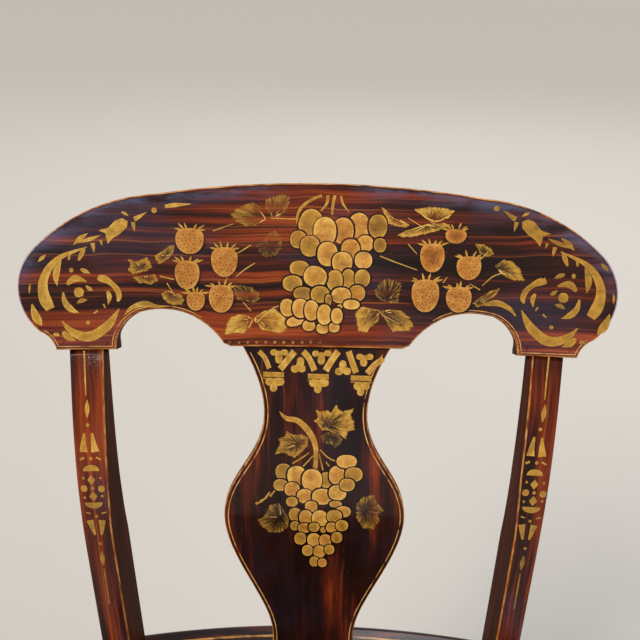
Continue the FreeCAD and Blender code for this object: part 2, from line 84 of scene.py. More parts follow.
def bentPlace(y, z):  # the other way: (s, depth) of a point
    s = y * math.sin(low) + z * math.cos(low)
    if s <= back["stileStraight"]:
        return s, y * math.cos(low) - z * math.sin(low)
    run = (y - bendEnd[0]) * math.sin(high) + (z - bendEnd[1]) * math.cos(high)
    if run >= 0:
        depth = (y - bendEnd[0]) * math.cos(high) - (z - bendEnd[1]) * math.sin(high)
        return back["stileStraight"] + back["bendLength"] + run, depth
    away = (y - bendCentre[0], z - bendCentre[1])
    lean = math.atan2(away[1], -away[0])
    return back["stileStraight"] + bendRadius * (lean - low), bendRadius - math.hypot(*away)


# the camera stands where the photograph was taken from, close in front and above
view = {"place": (6.7, -354.0, 992.2), "down": 24.59, "turn": 0.46, "roll": 0.70, "focus": 753, "frame": 640}


def cameraAxes():
    down, turn, roll = (math.radians(view[key]) for key in ("down", "turn", "roll"))
    spin = Matrix.Rotation(turn, 3, "Z")
    ahead = spin @ Vector((0, math.cos(down), -math.sin(down)))
    across = spin @ Vector((1, 0, 0))
    above = spin @ Vector((0, math.sin(down), math.cos(down)))
    right = across * math.cos(roll) + above * math.sin(roll)
    up = above * math.cos(roll) - across * math.sin(roll)
    return right, up, ahead


cameraRight, cameraUp, cameraAhead = cameraAxes()


def makeCamera():
    camera = bpy.data.objects.new("camera", bpy.data.cameras.new("camera"))
    bpy.context.scene.collection.objects.link(camera)
    axes = Matrix((cameraRight, cameraUp, -cameraAhead)).transposed()
    camera.matrix_world = Matrix.Translation(Vector(view["place"]) * mm) @ axes.to_4x4()
    camera.data.lens = view["focus"] / view["frame"] * camera.data.sensor_width
    camera.data.clip_start = 0.01
    bpy.context.scene.camera = camera


makeCamera()
print("camera set")


# nodes and colours
def hexColour(code):
    parts = [int(code[i:i + 2], 16) / 255 for i in (1, 3, 5)]
    return (*[c / 12.92 if c <= 0.04045 else ((c + 0.055) / 1.055) ** 2.4 for c in parts], 1)


def addNode(tree, kind, links=(), out=0, stops=(), **settings):
    # links are sockets, plain values or colour codes; stops are a ramp's (place, colour code or grey)
    node = tree.nodes.new("ShaderNode" + kind)
    for name, setting in settings.items():
        setattr(node, name, setting)
    for name, source in links.items() if isinstance(links, dict) else enumerate(links):
        if isinstance(source, bpy.types.NodeSocket):
            tree.links.new(source, node.inputs[name])
        else:
            node.inputs[name].default_value = hexColour(source) if isinstance(source, str) else source
    for i, (place, shade) in enumerate(stops):
        step = node.color_ramp.elements[i] if i < 2 else node.color_ramp.elements.new(place)
        step.position = place
        step.color = hexColour(shade) if isinstance(shade, str) else (shade, shade, shade, 1)
    return node.outputs[out] if len(node.outputs) else node


# settings that many nodes share
times, plus, less = ({"operation": name} for name in ("MULTIPLY", "ADD", "SUBTRACT"))
smooth = {"interpolation_type": "SMOOTHSTEP"}  # a map range from 0 at its first place to 1 at its second
tinted = {"data_type": "RGBA", "out": 2}  # a mix of two colours


def figure(add, vector, size, detail=4, shift=0):  # noise drawn out to a grain, size in mm across and along
    across, along = (1 / (length * mm) for length in size)
    moved = add("Mapping", {"Vector": vector, "Scale": (across, across, along), "Location": (shift,) * 3})
    return add("TexNoise", {"Vector": moved, "Scale": 1, "Detail": detail, "Roughness": 0.6})


def startMaterial(name):  # the material, and addNode for its own tree
    material = bpy.data.materials.new(name)
    material.use_nodes = True
    material.node_tree.nodes.clear()
    return material, partial(addNode, material.node_tree)


def closeMaterial(add, **sockets):
    shader = add("BsdfPrincipled", {name.replace("_", " "): source for name, source in sockets.items()})
    add("OutputMaterial", {"Surface": shader})


# Faux rosewood: a brick red ground combed over with near-black brown while wet, then varnished
graining = {
    # figure, streak: sizes across and along the grain in mm; fine: the streaks' share; wander: how far the
    # comb drifts, in mm; shift: which stretch of the noise; dark, spread: where black turns to brick, and how
    # slowly; threads: how strong the lit threads are; the sheen number: how much painted sheen, light
    # reflected in the varnish painted in as violet patches; zones: where the comb let the red show, and at
    # the stile's top a painted shade under the crest, as (axis of the piece, start and span in mm, stops of
    # share and lift)
    "crest": {
        "wander": 9, "figure": (14, 330), "streak": (2.7, 210), "shift": 3.7, "dark": 0.52, "spread": 1.15,
        "fine": 0.27, "threads": 0.45, "gloss": 0.5, "paintedSheen": 0.2, "zones": (
            ("X", 0, 127, ((0, 0.13), (0.10, 0.135), (0.22, 0.05), (0.34, -0.03), (0.48, 0), (0.62, -0.03),
                           (0.74, 0.01), (0.82, 0.04), (0.90, -0.03), (1, -0.05))),
            ("Z", -222, 444, ((0, 0), (0.20, 0.02), (0.30, 0.03), (0.45, 0.05), (0.56, 0.03), (0.68, -0.02),
                              (0.80, -0.05), (0.90, -0.01), (1, 0.01))))},
    "splat": {
        "wander": 9, "figure": (22, 170), "streak": (3.2, 150), "shift": 8.1, "dark": 0.555, "spread": 1.35,
        "fine": 0.18, "threads": 0.25, "gloss": 0.35, "paintedSheen": 0.08, "zones": (
            ("X", -73, 146, ((0, 0.04), (0.15, 0), (0.32, -0.01), (0.45, -0.02), (0.70, 0.01), (0.85, 0.04),
                             (1, 0.05))),)},
    "stile": {
        "wander": 5, "figure": (10, 170), "streak": (2.2, 150), "shift": 1.3, "dark": 0.455, "spread": 1.7,
        "fine": 0.24, "threads": 0.3, "gloss": 0.3, "paintedSheen": 0.35, "zones": (
            # the dip at this zone's top end is a painted shade under the crest
            ("Z", 0, 300, ((0, -0.02), (0.45, -0.02), (0.62, 0), (0.76, 0.05), (0.92, 0.03), (1, -0.03))),)},
    "turned": {
        "wander": 6, "figure": (14, 150), "streak": (2.4, 70), "shift": 5.2, "dark": 0.49, "spread": 1,
        "fine": 0.3, "threads": 0.5, "gloss": 0.45, "paintedSheen": 0.1, "zones": ()},
    "seat": {
        "wander": 22, "figure": (26, 260), "streak": (3.6, 120), "shift": 2.6, "dark": 0.49, "spread": 1,
        "fine": 0.26, "threads": 0.5, "gloss": 0.35, "paintedSheen": 0.14, "zones": ()},
}
rosewood = {
    "shades": ((-0.10, "#180a07"), (-0.02, "#2b110b"), (0.03, "#4f1c0d"), (0.08, "#7e3010"),
               (0.15, "#a34a1b")),
    # the violet colour is a painted sheen: light reflected in the varnish, painted in
    "lit": "#c0682a", "violetSheen": "#5b5068", "dust": "#9c928c",
    "path": (70, 80), "clouds": (60, 110), "fleck": 1.923,
}


def grainedColour(add, look):
    own = add("Attribute", out="Vector", attribute_name="own")
    shift, dark = look["shift"], look["dark"]
    path = add("Math", (figure(add, own, rosewood["path"], detail=2, shift=shift + 5), 0.5), **less)
    drift = add("CombineXYZ", [add("Math", (path, look["wander"] * mm), **times)])
    combed = add("VectorMath", (own, drift), **plus)
    broad = figure(add, combed, look["figure"], shift=shift)
    fine = figure(add, combed, look["streak"], detail=2.5, shift=shift + 11)
    broadPart = add("Math", (broad, 1 - look["fine"]), **times)
    mixed = add("Math", (broadPart, add("Math", (fine, look["fine"]), **times)), **plus)
    axes = add("SeparateXYZ", [own]).node.outputs
    # the zones' edges waver, so that none is a straight line
    waver = add("Math", (add("Math", (broad, 0.5), **less), 0.3), **times)
    for axis, start, span, stops in look["zones"]:
        share = add("Math", (add("Math", (axes[axis], start * mm), **less), span * mm), operation="DIVIDE")
        share = add("Math", (share, waver), **plus)
        grey = add("ValToRGB", [share], stops=[(place, 0.5 + 2 * lift) for place, lift in stops])
        lift = add("Math", (add("Math", (grey, 0.5), **less), 0.5), **times)
        mixed = add("Math", (mixed, lift), **plus)
    stops = [(dark + step * look["spread"], shade) for step, shade in rosewood["shades"]]
    paint = add("ValToRGB", [mixed], stops=stops)
    # single threads of the ground, lit orange where the comb cut clean through
    thread = (look["streak"][0] * 0.8, look["streak"][1] * 1.4)
    thread = add("MapRange", (figure(add, combed, thread, detail=1, shift=shift + 29), 0.60, 0.70), **smooth)
    thread = add("Math", (thread, add("MapRange", (mixed, dark - 0.06, dark + 0.06), **smooth)), **times)
    thread = add("Math", (thread, look["threads"]), **times)
    paint = add("Mix", {0: thread, 6: paint, 7: rosewood["lit"]}, **tinted)
    # painted sheen: violet patches standing in for light reflected in the varnish, and grey flecks of dust
    violetSheen = figure(add, own, rosewood["clouds"], detail=3, shift=shift + 43)
    violetSheen = add("Math", (add("MapRange", (violetSheen, 0.45, 0.70), **smooth), look["paintedSheen"]), **times)
    paint = add("Mix", {0: violetSheen, 6: paint, 7: rosewood["violetSheen"]}, **tinted)
    dust = add("TexNoise", {"Vector": own, "Scale": 1000 / rosewood["fleck"], "Detail": 2})
    dust = add("Math", (add("MapRange", (dust, 0.70, 0.76), **smooth), 0.3), **times)
    return add("Mix", {0: dust, 6: paint, 7: rosewood["dust"]}, **tinted), own


shellac = {"pull": (1.2, 40), "pit": 1.111, "bumpHeight": 0.6, "roughness": (0.26, 0.44)}


def varnish(add, own, base, gloss=0.6, **more):
    # old shellac: glossy, with a faint pull along the brush and small pits
    brushed = figure(add, own, shellac["pull"], detail=3, shift=71)
    pits = add("TexNoise", {"Vector": own, "Scale": 1000 / shellac["pit"], "Detail": 2})
    height = add("Math", (add("Math", (brushed, 0.7), **times), add("Math", (pits, 0.3), **times)), **plus)
    bump = add("Bump", {"Height": height, "Strength": 0.10, "Distance": shellac["bumpHeight"] * mm})
    rough = add("MapRange", (brushed, 0, 1, *shellac["roughness"]))
    closeMaterial(add, Base_Color=base, Roughness=rough, IOR=1.5, Specular_IOR_Level=0.1, Coat_Weight=gloss,
                  Coat_Roughness=0.05, Coat_IOR=1.45, Normal=bump, Coat_Normal=bump, **more)


def fauxRosewood(name):  # painted graining, looks deep because the red shows between the dark streaks
    material, add = startMaterial("fauxRosewood " + name)
    colour, own = grainedColour(add, graining[name])
    varnish(add, own, colour, graining[name]["gloss"])
    return material


darkSides = {
    "brushed": (6, 120), "ridge": (1, 14), "bumpHeight": 0.4,
    "shades": ((0.30, "#2c0f06"), (0.50, "#401a0a"), (0.70, "#5a2a10")),
}


def sawnSide():  # sawn edges in a dull, dark, even brown, darker than the grained faces
    material, add = startMaterial("darkSides")
    own = add("Attribute", out="Vector", attribute_name="own")
    colour = add("ValToRGB", [figure(add, own, darkSides["brushed"], shift=9)], stops=darkSides["shades"])
    ridges = figure(add, own, darkSides["ridge"], shift=77)
    bump = add("Bump", {"Height": ridges, "Strength": 0.15, "Distance": darkSides["bumpHeight"] * mm})
    closeMaterial(add, Base_Color=colour, Roughness=0.6, Specular_IOR_Level=0.04, Normal=bump)
    return material


wear = {
    "patch": (5, 26), "wood": (2, 12), "shades": ((0.35, "#8f4318"), (0.50, "#b9712c"), (0.66, "#d9a05a")),
    # a painted highlight in pale lilac on the ears' edges: fading in over these mm outward and upward
    "paintedHighlight": "#a79db4", "highlightOut": (185, 210), "highlightUp": (16, 30),
}


def wornArris(name, highlightStrength=0.0):  # paint rubbed through to the orange undercoat, a thin bright line on edges
    material, add = startMaterial("wornArris " + name)
    colour, own = grainedColour(add, graining[name])
    rubbed = add("MapRange", (figure(add, own, wear["patch"], shift=17), 0.30, 0.46), **smooth)
    wood = add("ValToRGB", [figure(add, own, wear["wood"], detail=3, shift=23)], stops=wear["shades"])
    edge = add("Mix", {0: rubbed, 6: colour, 7: wood}, **tinted)
    # on the crest, a painted highlight: pale lilac on the ears' upper edges, standing in for light on their
    # rounded edge
    if highlightStrength:
        up, depth, along = add("SeparateXYZ", [own]).node.outputs
        out = add("Math", [along], operation="ABSOLUTE")
        paintedHighlight = add("MapRange", (out, *[place * mm for place in wear["highlightOut"]]), **smooth)
        paintedHighlight = add("Math", (paintedHighlight, highlightStrength), **times)
        above = add("MapRange", (up, *[place * mm for place in wear["highlightUp"]]), **smooth)
        edge = add("Mix", {0: add("Math", (paintedHighlight, above), **times), 6: edge, 7: wear["paintedHighlight"]}, **tinted)
    varnish(add, own, edge, 0.35)
    return material


# Bronze powder laid on tacky varnish through a paper stencil, then varnished over
bronze = {
    "gold": ((0, "#180d0a"), (0.2, "#54401c"), (0.45, "#94702c"), (0.7, "#c29034"), (1, "#ecc566")),
    "copper": ((0, "#1c0d08"), (0.25, "#80421c"), (0.55, "#b8702a"), (1, "#e6a856")),
    "metal": 0.12, "speck": 0.9, "dab": 6, "rub": (9, 24),
}


def bronzeStencil(name):  # powder gold that thins to the graining where the powder was wiped away
    material, add = startMaterial("bronzePowder " + name)
    ground, own = grainedColour(add, graining[name])
    cover, tone, kind = add("SeparateColor", [add("Attribute", attribute_name="tint")]).node.outputs
    flow = add("Attribute", out="Vector", attribute_name="flow")
    strokes = add("TexNoise", {"Vector": flow, "Scale": 1, "Detail": 3})
    speck = add("TexNoise", {"Vector": own, "Scale": 1000 / bronze["speck"], "Detail": 4})
    dabs = add("TexNoise", {"Vector": own, "Scale": 1000 / bronze["dab"], "Detail": 3})
    uneven = add("Math", (add("Math", (speck, 0.8), **times), add("Math", (dabs, 0.9), **times)), **plus)
    shade = add("Math", (tone, add("Math", (uneven, 0.15), **plus)), **times)
    gold, copper = (add("ValToRGB", [shade], stops=bronze[metal]) for metal in ("gold", "copper"))
    powder = add("Mix", {0: kind, 6: gold, 7: copper}, **tinted)
    # the powder is ragged only where it thins out, and it's rubbed in patches
    ragged = add("Math", (add("Math", (strokes, 0.5), **less), 1.7), **times)
    ragged = add("Math", (ragged, add("Math", (add("Math", (speck, 0.5), **less), 0.5), **times)), **plus)
    ragged = add("Math", (ragged, add("MapRange", (cover, 1, 0.6), **smooth)), **times)
    held = add("MapRange", (add("Math", (cover, ragged), **plus), 0.15, 0.75), **smooth)
    rubbed = add("MapRange", (figure(add, own, bronze["rub"], detail=5, shift=61), 0.30, 0.52), **smooth)
    rubbed = add("Math", (add("Math", (rubbed, 0.42), **times), 0.58), **plus)
    held = add("Math", (held, rubbed), **times)
    colour = add("Mix", {0: held, 6: ground, 7: powder}, **tinted)
    varnish(add, own, colour, Metallic=add("Math", (held, bronze["metal"]), **times))
    return material


chromeYellow = {
    "wear": (6, 18), "brushed": (3, 20), "shades": ((0.35, "#b0712f"), (0.55, "#d9a358"), (0.7, "#e6c283")),
}


def stripingPaint():  # chrome yellow line drawn with a long brush, rubbed thin in places
    material, add = startMaterial("stripingPaint")
    ground, own = grainedColour(add, graining["crest"])
    held = add("MapRange", (figure(add, own, chromeYellow["wear"], detail=5, shift=31), 0.36, 0.50), **smooth)
    brushed = figure(add, own, chromeYellow["brushed"], detail=3, shift=37)
    line = add("ValToRGB", [brushed], stops=chromeYellow["shades"])
    varnish(add, own, add("Mix", {0: held, 6: ground, 7: line}, **tinted))
    return material


maple = {"pore": 1.429, "bumpHeight": 0.4, "shades": ((0.3, "#2a120c"), (0.55, "#54230f"), (0.8, "#7a3a18"))}


def pinEndGrain():  # maple pins and wedges under the same varnish: fine end-grain dots
    material, add = startMaterial("pinEndGrain")
    where = add("TexCoord", out="Object")
    pores = add("TexNoise", {"Vector": where, "Scale": 1000 / maple["pore"], "Detail": 4})
    colour = add("ValToRGB", [pores], stops=maple["shades"])
    bump = add("Bump", {"Height": pores, "Strength": 0.2, "Distance": maple["bumpHeight"] * mm})
    closeMaterial(add, Base_Color=colour, Roughness=0.45, Coat_Weight=0.5, Coat_Roughness=0.2, Normal=bump)
    return material


paint = {name: fauxRosewood(name) for name in graining}
arris = {"crest": wornArris("crest", highlightStrength=0.8), "splat": wornArris("splat"), "stile": wornArris("stile")}
sides = sawnSide()
striping = stripingPaint()
pins = pinEndGrain()
print("materials made")


# meshes
def placePiece(name, vertices, faces, own, materials, nodes=(), soft=True, slots=None, attributes=None):
    mesh = bpy.data.meshes.new(name)
    mesh.from_pydata([Vector(v) * mm for v in vertices], [], faces)
    field = mesh.attributes.new("own", "FLOAT_VECTOR", "POINT")
    field.data.foreach_set("vector", [c * mm for v in own for c in v])
    for key, (kind, values) in (attributes or {}).items():
        field = mesh.attributes.new(key, kind, "POINT")
        field.data.foreach_set("color" if kind == "FLOAT_COLOR" else "vector", [c for v in values for c in v])
    for material in materials:
        mesh.materials.append(material)
    if slots:
        mesh.polygons.foreach_set("material_index", slots)
    mesh.polygons.foreach_set("use_smooth", [soft] * len(mesh.polygons))
    mesh.validate()
    piece = bpy.data.objects.new(name, mesh)
    bpy.context.scene.collection.objects.link(piece)
    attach(piece, "root")
    if nodes:
        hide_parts(*nodes)
    return piece


def arcPoints(start, end, sagitta, step=2.0):
    # points after start on an arc that bulges outward of an anticlockwise loop
    run = Vector(end) - Vector(start)
    chord = run.length
    if abs(sagitta) < 0.001:
        count = max(1, round(chord / 8))
        return [tuple(Vector(start) + run * i / count) for i in range(1, count + 1)]
    radius = (chord ** 2 / 4 + sagitta ** 2) / (2 * abs(sagitta))
    half = math.asin(min(1, chord / 2 / radius))
    if abs(sagitta) > chord / 2:
        half = math.pi - half
    count = max(3, round(2 * half * radius / step))
    outward = Vector((run.y, -run.x)).normalized() * (1 if sagitta > 0 else -1)
    centre = (Vector(start) + Vector(end)) / 2 + outward * (abs(sagitta) - radius)
    first = Vector(start) - centre
    across = first.cross(Vector(end) - centre) * (1 if half <= math.pi / 2 else -1)
    turn = math.copysign(2 * half / count, across)
    return [tuple(centre + Matrix.Rotation(turn * i, 2) @ first) for i in range(1, count + 1)]


# Crest rail: bowed board sawn to drooping ears, two arches and a flat drop
crest = {
    "rows": ((0.304, 0.000, None), (0.326, 0.018, -0.002), (0.450, 0.198, -0.020), (0.615, 0.205, -0.024),
             (0.691, -0.020, -0.041), (0.885, -0.020, 0), (0.935, 0.089, -0.017), (0.941, 0.606, 0.113),
             (0.565, 0.917, 0.066)),
    "topBulge": 0.085, "column": 5, "thick": back["crestThick"],
    # the front edge is eased, the back is feathered away but for the bottom, where the stiles and splat enter
    "ease": 2, "rings": (0, 0.15, 0.6, 1.25, 2, 3.6, 5.6, 8), "rubbed": 1.2, "rearReach": 8,
    "rearDrop": lambda v: 2 + 9.5 * min(1, max(0, (v - 1) / 9)),
}


def crestOutline():
    half = [(row[0] * back["crestWidth"] / 2, row[1] * back["crestHeight"],
             None if row[2] is None else row[2] * back["crestHeight"]) for row in crest["rows"]]
    loop = [half[0][:2]]
    for row in half[1:]:
        loop += arcPoints(loop[-1], row[:2], row[2])
    loop += arcPoints(loop[-1], (-half[-1][0], half[-1][1]), crest["topBulge"] * back["crestHeight"])
    for i in range(len(half) - 2, -1, -1):
        loop += arcPoints(loop[-1], (-half[i][0], half[i][1]), half[i + 1][2])
    loop += arcPoints(loop[-1], loop[0], 0)[:-1]
    return loop


def crestBow(u, depth=0):
    radius = back["crestBow"] + depth
    return crestSag + depth - radius + math.sqrt(radius ** 2 - u ** 2)


def fromCrest(u, n, v):
    y = crestY + n * math.cos(high) + v * math.sin(high)
    return u, y, crestZ - n * math.sin(high) + v * math.cos(high)


def insetLine(loop, inset):
    line = []
    count = len(loop)
    for i in range(count):
        before, here, after = (Vector(loop[(i + k) % count]) for k in (-1, 0, 1))
        ahead = ((here - before).normalized() + (after - here).normalized()).normalized()
        inward = Vector((-ahead.y, ahead.x))
        stretch = max(0.5, abs((after - here).normalized().dot(ahead)))
        line.append(tuple(here + inward * inset / stretch))
    return line


def rounding(inset, reach, drop):  # how far a rounded edge falls away at this distance from the outline
    return drop * (1 - math.sqrt(1 - (1 - min(inset, reach) / reach) ** 2))


def sawnBoard(name, look, loop, cuts, axis, shape, ownOf, materials, node):
    # rings inside the outline and cuts across them, given two faces by shape(a, b, depth), with the edges
    # rounded front and back; materials: the faces, the rubbed front edge, the sawn sides
    board = bmesh.new()
    rings = [[board.verts.new((a, b, inset)) for a, b in insetLine(loop, inset)] for inset in look["rings"]]
    for outer, inner in zip(rings, rings[1:]):
        for i in range(len(loop)):
            k = (i + 1) % len(loop)
            board.faces.new((outer[i], outer[k], inner[k], inner[i]))
    board.faces.new(rings[-1])
    for cut in cuts:
        normal = (1, 0, 0) if axis == 0 else (0, 1, 0)
        spot = (cut, 0, 0) if axis == 0 else (0, cut, 0)
        everything = board.verts[:] + board.edges[:] + board.faces[:]
        bmesh.ops.bisect_plane(board, geom=everything, plane_co=spot, plane_no=normal, dist=0.01)
    grown = bmesh.ops.extrude_face_region(board, geom=board.faces[:])["geom"]
    rear = {v for v in grown if isinstance(v, bmesh.types.BMVert)}
    for face in board.faces:
        behind = sum(v in rear for v in face.verts)
        inset = sum(v.co.z for v in face.verts) / len(face.verts)
        if 0 < behind < len(face.verts):
            face.material_index = 2
        elif not behind and inset < look["rubbed"]:
            face.material_index = 1
    for v in board.verts:
        a, b, inset = v.co
        if v in rear:
            depth = look["thick"] - rounding(inset, look["rearReach"], look["rearDrop"](b))
        else:
            depth = rounding(inset, look["ease"], look["ease"])
        v.co = shape(a, b, depth)
    bmesh.ops.recalc_face_normals(board, faces=board.faces[:])
    # the cuts come in any order, so points and faces are sorted and each run gives the same mesh
    order = sorted(board.verts, key=lambda v: tuple(round(c, 3) for c in v.co))
    place = {v: i for i, v in enumerate(order)}
    table = sorted(([place[v] for v in f.verts], f.material_index) for f in board.faces)
    vertices = [tuple(v.co) for v in order]
    faces, slots = zip(*table)
    board.free()
    piece = placePiece(name, vertices, faces, [ownOf(v) for v in vertices], materials, [node], slots=slots)
    piece.modifiers.new("evenShading", "WEIGHTED_NORMAL").weight = 90


def crestOwn(point):  # across the grain, through it from the bowed face, along it
    y, z = point[1] - crestY, point[2] - crestZ
    depth = y * math.cos(high) - z * math.sin(high) - crestBow(point[0])
    return (y * math.sin(high) + z * math.cos(high), depth, point[0])


def crestShape(a, b, depth):
    return fromCrest(a, crestBow(a, depth), b)


columns = [crest["column"] * i for i in range(-44, 45)]
sawnBoard("crestRail", crest, crestOutline(), columns, 0, crestShape, crestOwn,
          [paint["crest"], arris["crest"], sides], "crest_rail")
print("crest rail made")


# Splat: vase outline, bent like the stiles
splat = {
    "shares": ((0.477, 0.080), (0.491, 0.150), (0.628, 0.250), (0.846, 0.370), (0.981, 0.4745),
               (1.000, 0.513), (0.937, 0.602), (0.757, 0.6825), (0.598, 0.762), (0.559, 0.822),
               (0.606, 0.897), (0.673, 0.941)),
    "foot": 0.546, "top": 0.798, "row": 6, "hidden": 4, "thick": back["splatThick"], "ease": 1.5,
    "rings": (0, 0.12, 0.45, 0.95, 1.5, 3, 5), "rubbed": 0.9, "rearReach": 5, "rearDrop": lambda b: 6,
}
splatRise = footRise * math.cos(splay) - splatDrop


def smoothLine(points, step):  # a curve through the points
    line = []
    for i in range(len(points) - 1):
        a, b, c, d = (Vector(points[max(0, min(len(points) - 1, i + k))]) for k in (-1, 0, 1, 2))
        count = max(2, round((c - b).length / step))
        for j in range(count):
            t = j / count
            line.append(tuple(0.5 * (2 * b + (c - a) * t + (2 * a - 5 * b + 4 * c - d) * t ** 2
                                     + (3 * b - a - 3 * c + d) * t ** 3)))
    return line + [tuple(points[-1])]


def fairCurve(points, step):  # a batten bent through the points: a natural cubic spline
    spots = [Vector(p) for p in points]
    runs = [(b - a).length for a, b in zip(spots, spots[1:])]
    count = len(spots)
    slopes = [(b - a) / run for a, b, run in zip(spots, spots[1:], runs)]
    bends, weights = [Vector((0, 0))] * count, [0.0] * count
    for i in range(1, count - 1):  # forward sweep, then back
        lead = 2 * (runs[i - 1] + runs[i]) - runs[i - 1] * weights[i - 1]
        weights[i] = runs[i] / lead
        bends[i] = (6 * (slopes[i] - slopes[i - 1]) - runs[i - 1] * bends[i - 1]) / lead
    for i in range(count - 2, 0, -1):
        bends[i] = bends[i] - weights[i] * bends[i + 1]
    line = []
    for i, run in enumerate(runs):
        pieces = max(2, round(run / step))
        for j in range(pieces):
            t = run * j / pieces
            line.append(tuple(spots[i] + t * (slopes[i] - run * (2 * bends[i] + bends[i + 1]) / 6)
                              + bends[i] * t ** 2 / 2 + (bends[i + 1] - bends[i]) * t ** 3 / (6 * run)))
    return line + [tuple(spots[-1])]


def splatHalf():
    half = back["splatWidth"] / 2
    points = [(half * splat["foot"], 0)] + [(half * a, splatRise * b) for a, b in splat["shares"]]
    return fairCurve(points + [(half * splat["top"], splatRise)], 2.5)


def splatOutline():
    right = splatHalf()
    right = [(right[0][0], -splat["hidden"])] + right + [(right[-1][0], splatRise + splat["hidden"])]
    top = [(right[-1][0] - i * right[-1][0] / 8, right[-1][1]) for i in range(1, 16)]
    foot = [(-right[0][0] + i * right[0][0] / 5, right[0][1]) for i in range(1, 10)]
    return right + top + [(-x, z) for x, z in reversed(right)] + foot


def bentLine(rise, depth):  # how far back the splat's face stands at a height
    y = (depth + rise * math.sin(low)) / math.cos(low)
    if bentPlace(y, rise)[0] <= back["stileStraight"]:
        return y
    y = bendCentre[0] - math.sqrt((bendRadius - depth) ** 2 - (rise - bendCentre[1]) ** 2)
    if bentPlace(y, rise)[0] <= back["stileStraight"] + back["bendLength"]:
        return y
    return bendEnd[0] + (depth + (rise - bendEnd[1]) * math.sin(high)) / math.cos(high)


def splatShape(a, b, depth):
    return (a, splatY + bentLine(b + splatDrop, depth), back["seatHeight"] + b)


def splatOwn(point):
    s, depth = bentPlace(point[1] - splatY, point[2] - back["seatHeight"] + splatDrop)
    return (point[0], depth, s)


rows = [splat["row"] * i for i in range(0, 49)]
sawnBoard("splatBoard", splat, splatOutline(), rows, 1, splatShape, splatOwn,
          [paint["splat"], arris["splat"], sides], "splat")
print("splat made")


# Stiles: sawn to the bend, deep at the seat, thin under the crest, crisp front corners
stile = {
    "width": 24.5, "footWidth": 22, "ease": 1.1, "stations": 60, "length": 296.6, "hidden": 3,
    "depths": ((0, 38), (65, 36), (130, 34), (190, 26.4), (250, 21), (300, 15.4)),
    # the spokeshave took more off the inner front corner than the outer one: (height, outer, inner) in mm
    "shaved": {
        "Left": ((0, 2.4, -1.0), (60, 3.0, -2.4), (150, 3.5, -3.8), (190, 3.4, -2.7), (230, 2.8, -1.6),
                 (300, 1.4, 0.0)),
        "Right": ((0, -1.6, 0.0), (60, -1.2, -1.2), (150, -0.6, -2.4), (200, 0.2, -1.0), (280, 0.9, -1.8),
                  (300, 1.0, -1.4)),
    },
    "shavedBehind": 0.35,  # how much of the inner shaving is left at the back
    "apart": 40,  # each stile's graining is taken from its own place, so many mm to its side
}


def between(table, place, column=1):
    for before, after in zip(table, table[1:]):
        if place <= after[0]:
            share = max(0, place - before[0]) / (after[0] - before[0])
            return before[column] + (after[column] - before[column]) * share
    return table[-1][column]


def fromStile(sign, x, y, z):
    return (sign * stileX + x * math.cos(splay) + z * sign * math.sin(splay),
            back["backY"] + back["stileRecess"] + y,
            back["seatHeight"] + z * math.cos(splay) - x * sign * math.sin(splay))


def gridFaces(rows, count):  # between rows of count points, closed round
    faces = []
    for i in range(rows - 1):
        for j in range(count):
            k = (j + 1) % count
            faces.append((i * count + j, i * count + k, (i + 1) * count + k, (i + 1) * count + j))
    return faces


def endCaps(rows, count):  # the first row and the last one, each as one face
    return [list(reversed(range(count))), list(range((rows - 1) * count, rows * count))]


def makeStile(side, sign):
    corners, ease = ((1, 0), (1, 1), (-1, 1), (-1, 0)), stile["ease"]
    ring = []
    for corner, (cx, cy) in enumerate(corners):
        for k in range(4):
            turn = math.radians(-90 + corner * 90 + k * 30)
            ring.append((cx, cy, math.cos(turn), math.sin(turn)))
    vertices, own = [], []
    for i in range(stile["stations"] + 1):
        s = -stile["hidden"] + (stile["length"] + stile["hidden"]) * i / stile["stations"]
        half = (stile["footWidth"] + (stile["width"] - stile["footWidth"]) * s / stile["length"]) / 2
        deep = between(stile["depths"], s)
        for cx, cy, rx, ry in ring:
            if cx * sign > 0:
                shaved = between(stile["shaved"][side], s, 1)
            else:
                shaved = between(stile["shaved"][side], s, 2) * (1 - (1 - stile["shavedBehind"]) * cy)
            x = cx * (half + shaved - ease) + rx * ease
            depth = ease + cy * (deep - 2 * ease) + ry * ease
            vertices.append(fromStile(sign, x, *bentPath(s, depth)))
            own.append((x + stile["apart"] * sign, depth, s))
    rows, count = stile["stations"] + 1, len(ring)
    rubbed = (0, 1, 2) if sign < 0 else (12, 13, 14)  # the inner front corner
    sawn = (3, 4, 5, 6, 8, 9, 10, 11)  # the two sides and the back's corners
    slots = [1 if j in rubbed else 2 if j in sawn else 0 for j in range(count)] * stile["stations"]
    materials = [paint["stile"], arris["stile"], sides]
    faces = gridFaces(rows, count) + endCaps(rows, count)
    piece = placePiece("stile" + side, vertices, faces, own, materials, ["stile_" + side.lower()],
                       slots=slots + [0, 0])
    piece.modifiers.new("evenShading", "WEIGHTED_NORMAL").weight = 90


makeStile("Left", -1)
makeStile("Right", 1)
print("stiles made")


# Seat plank, its outline and saddle as the frame has them
seat = {
    "front": -233, "rear": 152, "frontBow": 16, "rearBow": 20, "flare": 22, "margin": 16,
    "frontCorner": 38, "rearCorner": 12, "top": back["seatHeight"], "thick": 38, "ease": 9, "edge": 4,
    "dishDepth": 11, "dishMargin": 24, "dishShelf": 62,
    # the rim is rounded over by hand, which takes a little off the whole top; its faces run in to the heart
    "rimSoft": 1.6, "rimLift": 0.12, "planed": 0.3, "heart": -40, "steps": 34,
    # rings of the underside and the edge, and the turns of their roundings in radians
    "under": 30, "band": 12, "edgeTurns": (0.5, 1.05, 1.57),
    "easeTurns": (0, 0.26, 0.52, 0.79, 1.05, 1.31, 1.57),
}
rearHalf = stileX + stile["footWidth"] / 2 + seat["margin"]
frontHalf = rearHalf + seat["flare"]


